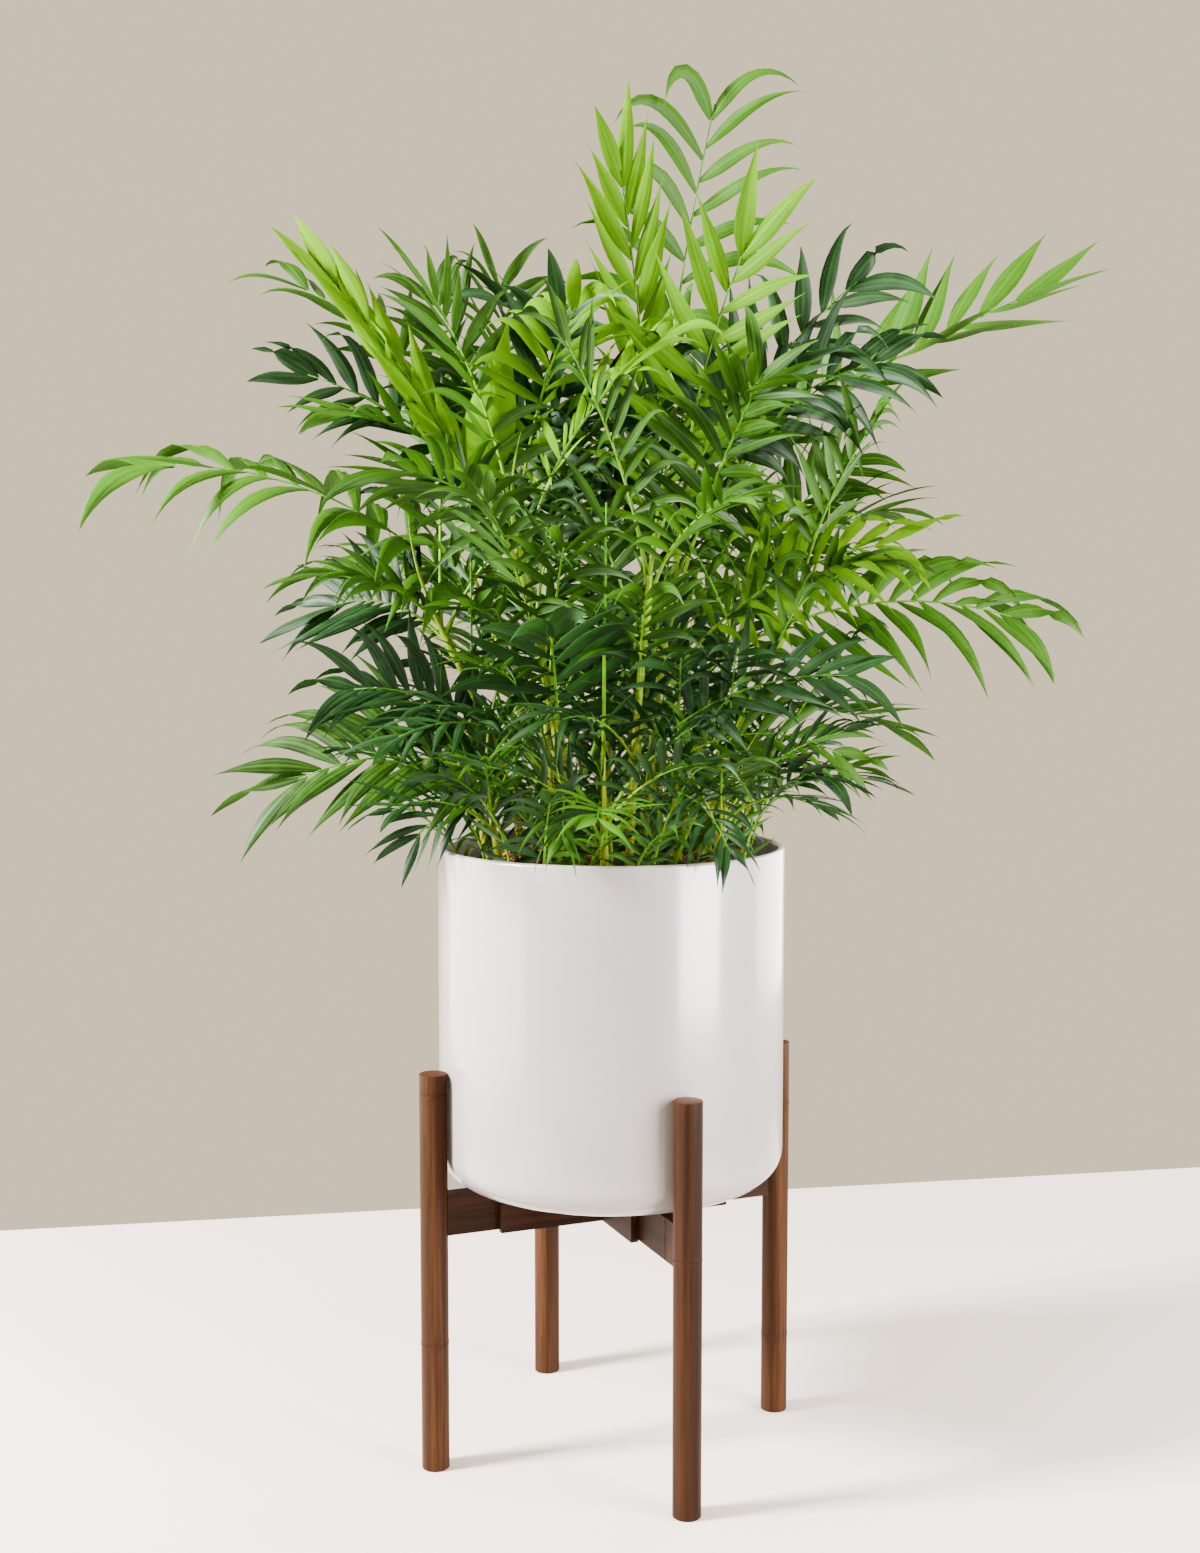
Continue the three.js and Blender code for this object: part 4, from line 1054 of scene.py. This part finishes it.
def add_leaflet(bundle, frond, share, place, hand, last, roll):
    at, rib_way, side, up = rib_at(frond["arc"], frond["roll"], place)
    lift = math.radians(frond["lift"] + roll(-15, 15))
    out = side * hand * math.cos(lift) + up * math.sin(lift)
    angle = math.radians(mix(70, 24 if last else 34, share) * frond["fan"] + roll(-9, 9))
    slim = math.sin(math.pi * mix(0.2, 0.86, share))
    length = frond["leaf"] * mix(0.66, 1, slim) * roll(0.82, 1.1)
    width = frond["leaf"] * frond["wide"] * mix(0.72, 1, slim) * roll(0.85, 1.12) * (1.35 if last else 1)
    if share == 0 and hand > 0:
        # the left spear's is a broad blade that stands away from the rest
        angle = angle * frond["first"] ** 2.2
        length = length * frond["first"]
        width = width * frond["first"] ** 1.6
    way = unit(rib_way * math.cos(angle) + out * math.sin(angle))
    leaf = {"belly": roll(0.26, 0.42), "taper": 1.1 if last else roll(1.3, 2.2), "fold": roll(0.12, 0.36),
            "twist": roll(-0.8, 0.8) * 0.13 / frond["wide"], "late": roll(1.1, 2.2),
            "sweep": 0.0 if last else roll(-0.15, 0.65)}
    droop = frond["droop"] * roll(0.3, 1.6)
    grid = "small" if frond["leaf"] < SMALL_LEAF else "fine"
    value = roll(0, 1)
    for more, shorter in LEAF_TRIES:
        leaf.update(length=length * shorter, width=width * math.sqrt(shorter), droop=droop + more)
        points, across, along = blade_points(at, way, rib_way, hand, leaf, grid)
        if clears_pot(points[AT_RIB:], *POT_ROOM["leaf"]).all():
            spray = frond["spray"]
            bundle.add(points, BLADE_FACES[grid], across=across, along=along, leaflet=value, spray=spray)
            return


def dress_frond(frond, blades, stalks):
    roll = dice(frond["seed"])
    for _ in range(4):
        value = roll(0, 1)
    frond.setdefault("spray", value)
    pairs = frond["pairs"]
    end = 1 - RIB["end"] / pairs
    for k in range(pairs):
        share = k / (pairs - 1)
        last = k == pairs - 1
        for hand in (1, -1):
            shifted = share if last else max(0, share + hand * RIB["stagger"] / pairs)
            add_leaflet(blades, frond, share, mix(frond["bare"], end, shifted), hand, last, roll)
    path = frond["arc"]["points"]
    if np.linalg.norm(frond["root"] - path[0]) > 1e-6:
        path = np.concatenate([[frond["root"]], path])
    share = np.linspace(0, 1, len(path))
    thick = frond.get("thick", 1.15 if frond["leaf"] > BROAD_LEAF else 0.85)
    radii = mix(RIB["radius"], RIB["tip"], share ** 0.8) * thick + RIB["swell"] * np.exp(-share * 22)
    points, faces = tube(path, radii, ROUND["stalk"])
    stalks.add(points, faces, along=np.repeat(share, ROUND["stalk"]), spray=frond["spray"])


def build_fronds():
    bundles = {}
    stalks = Bundle("along", "spray")
    for frond in fronds:
        key = (frond["kind"], frond["tone"])
        bundle = bundles.setdefault(key, Bundle("across", "along", "leaflet", "spray"))
        dress_frond(frond, bundle, stalks)
    stems_of = {"crown": "crown_", "tuft": "tuft_"}
    for (kind, tone), bundle in sorted(bundles.items()):
        stood_for = [name for name in sorted(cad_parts) if name.startswith(stems_of.get(kind, "-"))]
        if kind == "shaped":
            own = ["frond_" + row["name"] for row in OUTLINE if row["tone"] == tone]
            stood_for = [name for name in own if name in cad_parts]
        bundle.piece(kind + "_fronds_" + tone, LEAF_FINISHES[tone], "leaf_" + tone, stood_for)
    stalks.piece("frond_stalks", rib_finish(), "cane")


# Canes with their rings, and the shafts above them
def smooth_path(points, steps):
    """A smooth line through the points."""
    points = np.array(points)
    padded = np.concatenate([[2 * points[0] - points[1]], points, [2 * points[-1] - points[-2]]])
    path = []
    for a, b, c, d in zip(padded, padded[1:], padded[2:], padded[3:]):
        for t in np.linspace(0, 1, steps, endpoint=False):
            bend = (2 * a - 5 * b + 4 * c - d) * t * t + (3 * b - a - 3 * c + d) * t ** 3
            path.append((2 * b + (c - a) * t + bend) / 2)
    return np.array(path + [points[-1]])


def add_cane(bundle, cane):
    path = smooth_path(cane["points"], 20)
    run = np.append(0, np.cumsum(np.linalg.norm(np.diff(path, axis=0), axis=1)))
    length = run[-1]
    roll = dice(KNOT["seed"] + cane["owner"])
    knots = [roll(0.012, 0.022)]
    while knots[-1] + KNOT["spacing"] < length - KNOT["end"]:
        knots.append(knots[-1] + KNOT["spacing"] * roll(0.8, 1.25) * mix(0.8, 1.2, knots[-1] / length))
    places = set(np.linspace(0, length, ROWS))
    for knot in knots:
        places.update(knot + KNOT["half"] * share for share in (-1, -0.6, -0.25, 0, 0.25, 0.6, 1))
    places = np.array(sorted(p for p in places if 0 <= p <= length))
    line = np.stack([np.interp(places, run, path[:, axis]) for axis in range(3)], axis=1)
    near = np.max([np.clip(1 - np.abs(places - knot) / KNOT["half"], 0, 1) for knot in knots], axis=0)
    radii = mix(CANE["radius"], CANE["radius"] * CANE["taper"], places / length)
    radii = radii + (CANE["flare"] - CANE["radius"]) * np.exp(-places / CANE["flare_height"])
    radii = radii + KNOT["swell"] * near
    points, faces = tube(line, radii, ROUND["cane"])
    bundle.add(points, faces, ring=np.repeat(np.clip(near * 1.6 - 0.6, 0, 1), ROUND["cane"]))


def add_shaft(bundle, stem, bend):
    """The sheaths that wrap a stem's newest stalks, with a furled leaf at the top."""
    share = np.linspace(0, 1, BUD["rows"])
    sheaths = 1 + 0.12 * ((share * 3) % 1 < 0.15)
    radii = mix(SHAFT["radius"] * 0.9, SHAFT["tip"], share ** 1.5) * sheaths
    line = stem["foot"] + np.outer(share * stem["length"], stem["way"])
    points, faces = tube(line, radii, ROUND["shaft"])
    bundle.add(points, faces, ring=0.0)
    top = stem["foot"] + stem["way"] * stem["length"] * 0.96
    reach = mix(BUD["short"], BUD["long"], bend)
    aside = heading(stem["turn"] + 200 * bend, 0)
    bud = [top + stem["way"] * reach * s + aside * reach * 0.25 * s * s for s in share]
    points, faces = tube(bud, mix(BUD["radius"], BUD["tip"], share ** 1.6), ROUND["bud"])
    bundle.add(points, faces, ring=0.0)


def build_canes():
    bundle = Bundle("ring")
    for cane in canes:
        add_cane(bundle, cane)
    for stem in stems:
        add_shaft(bundle, stem, dice(SHAFT["seed"] + stem["owner"])(0, 1))
    nodes = [name for name in sorted(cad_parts) if name.startswith("cane_")]
    bundle.piece("canes", cane_finish(), "cane", nodes)


# The studio: a plain pale floor, soft light, strongest from the left, and the photograph's viewing angle
def area_light(name, where, size, power, colour):
    data = bpy.data.lights.new(name, "AREA")
    data.shape = "RECTANGLE"
    data.size = size[0]
    data.size_y = size[1]
    data.energy = power
    data.color = colour
    light = bpy.data.objects.new(name, data)
    light.location = Vector(where) + Vector(AXIS)
    target = Vector((0, 0, LIT_HEIGHT)) + Vector(AXIS)
    light.rotation_euler = (target - light.location).to_track_quat("-Z", "Y").to_euler()
    bpy.context.scene.collection.objects.link(light)


def build_studio():
    half = FLOOR["half"]
    slant = FLOOR["slant"] * half
    mesh = bpy.data.meshes.new("floor")
    back = FLOOR["back"]
    corners = [(-half, -half, 0), (half, -half, 0), (half, back + slant, 0), (-half, back - slant, 0)]
    mesh.from_pydata(corners, [], [(0, 1, 2, 3)])
    mesh.materials.append(floor_finish())
    floor = bpy.data.objects.new("floor", mesh)
    bpy.context.scene.collection.objects.link(floor)
    for name, row in LIGHTS.items():
        area_light(name, *row)
    world = bpy.data.worlds.new("studio")
    world.use_nodes = True
    sky = world.node_tree.nodes["Background"]
    sky.inputs["Color"].default_value = paint(BACKDROP["colour"])
    sky.inputs["Strength"].default_value = BACKDROP["strength"]
    bpy.context.scene.world = world


def build_camera():
    data = bpy.data.cameras.new("camera")
    data.lens = CAMERA["lens"]
    camera = bpy.data.objects.new("camera", data)
    camera.location = Vector(CAMERA["from_pot"]) + Vector(AXIS)
    camera.rotation_euler = (math.radians(90 - CAMERA["down"]), 0, 0)
    bpy.context.scene.collection.objects.link(camera)
    bpy.context.scene.camera = camera


build_camera()
build_pot()
build_soil()
build_stand()
build_canes()
build_fronds()
build_studio()
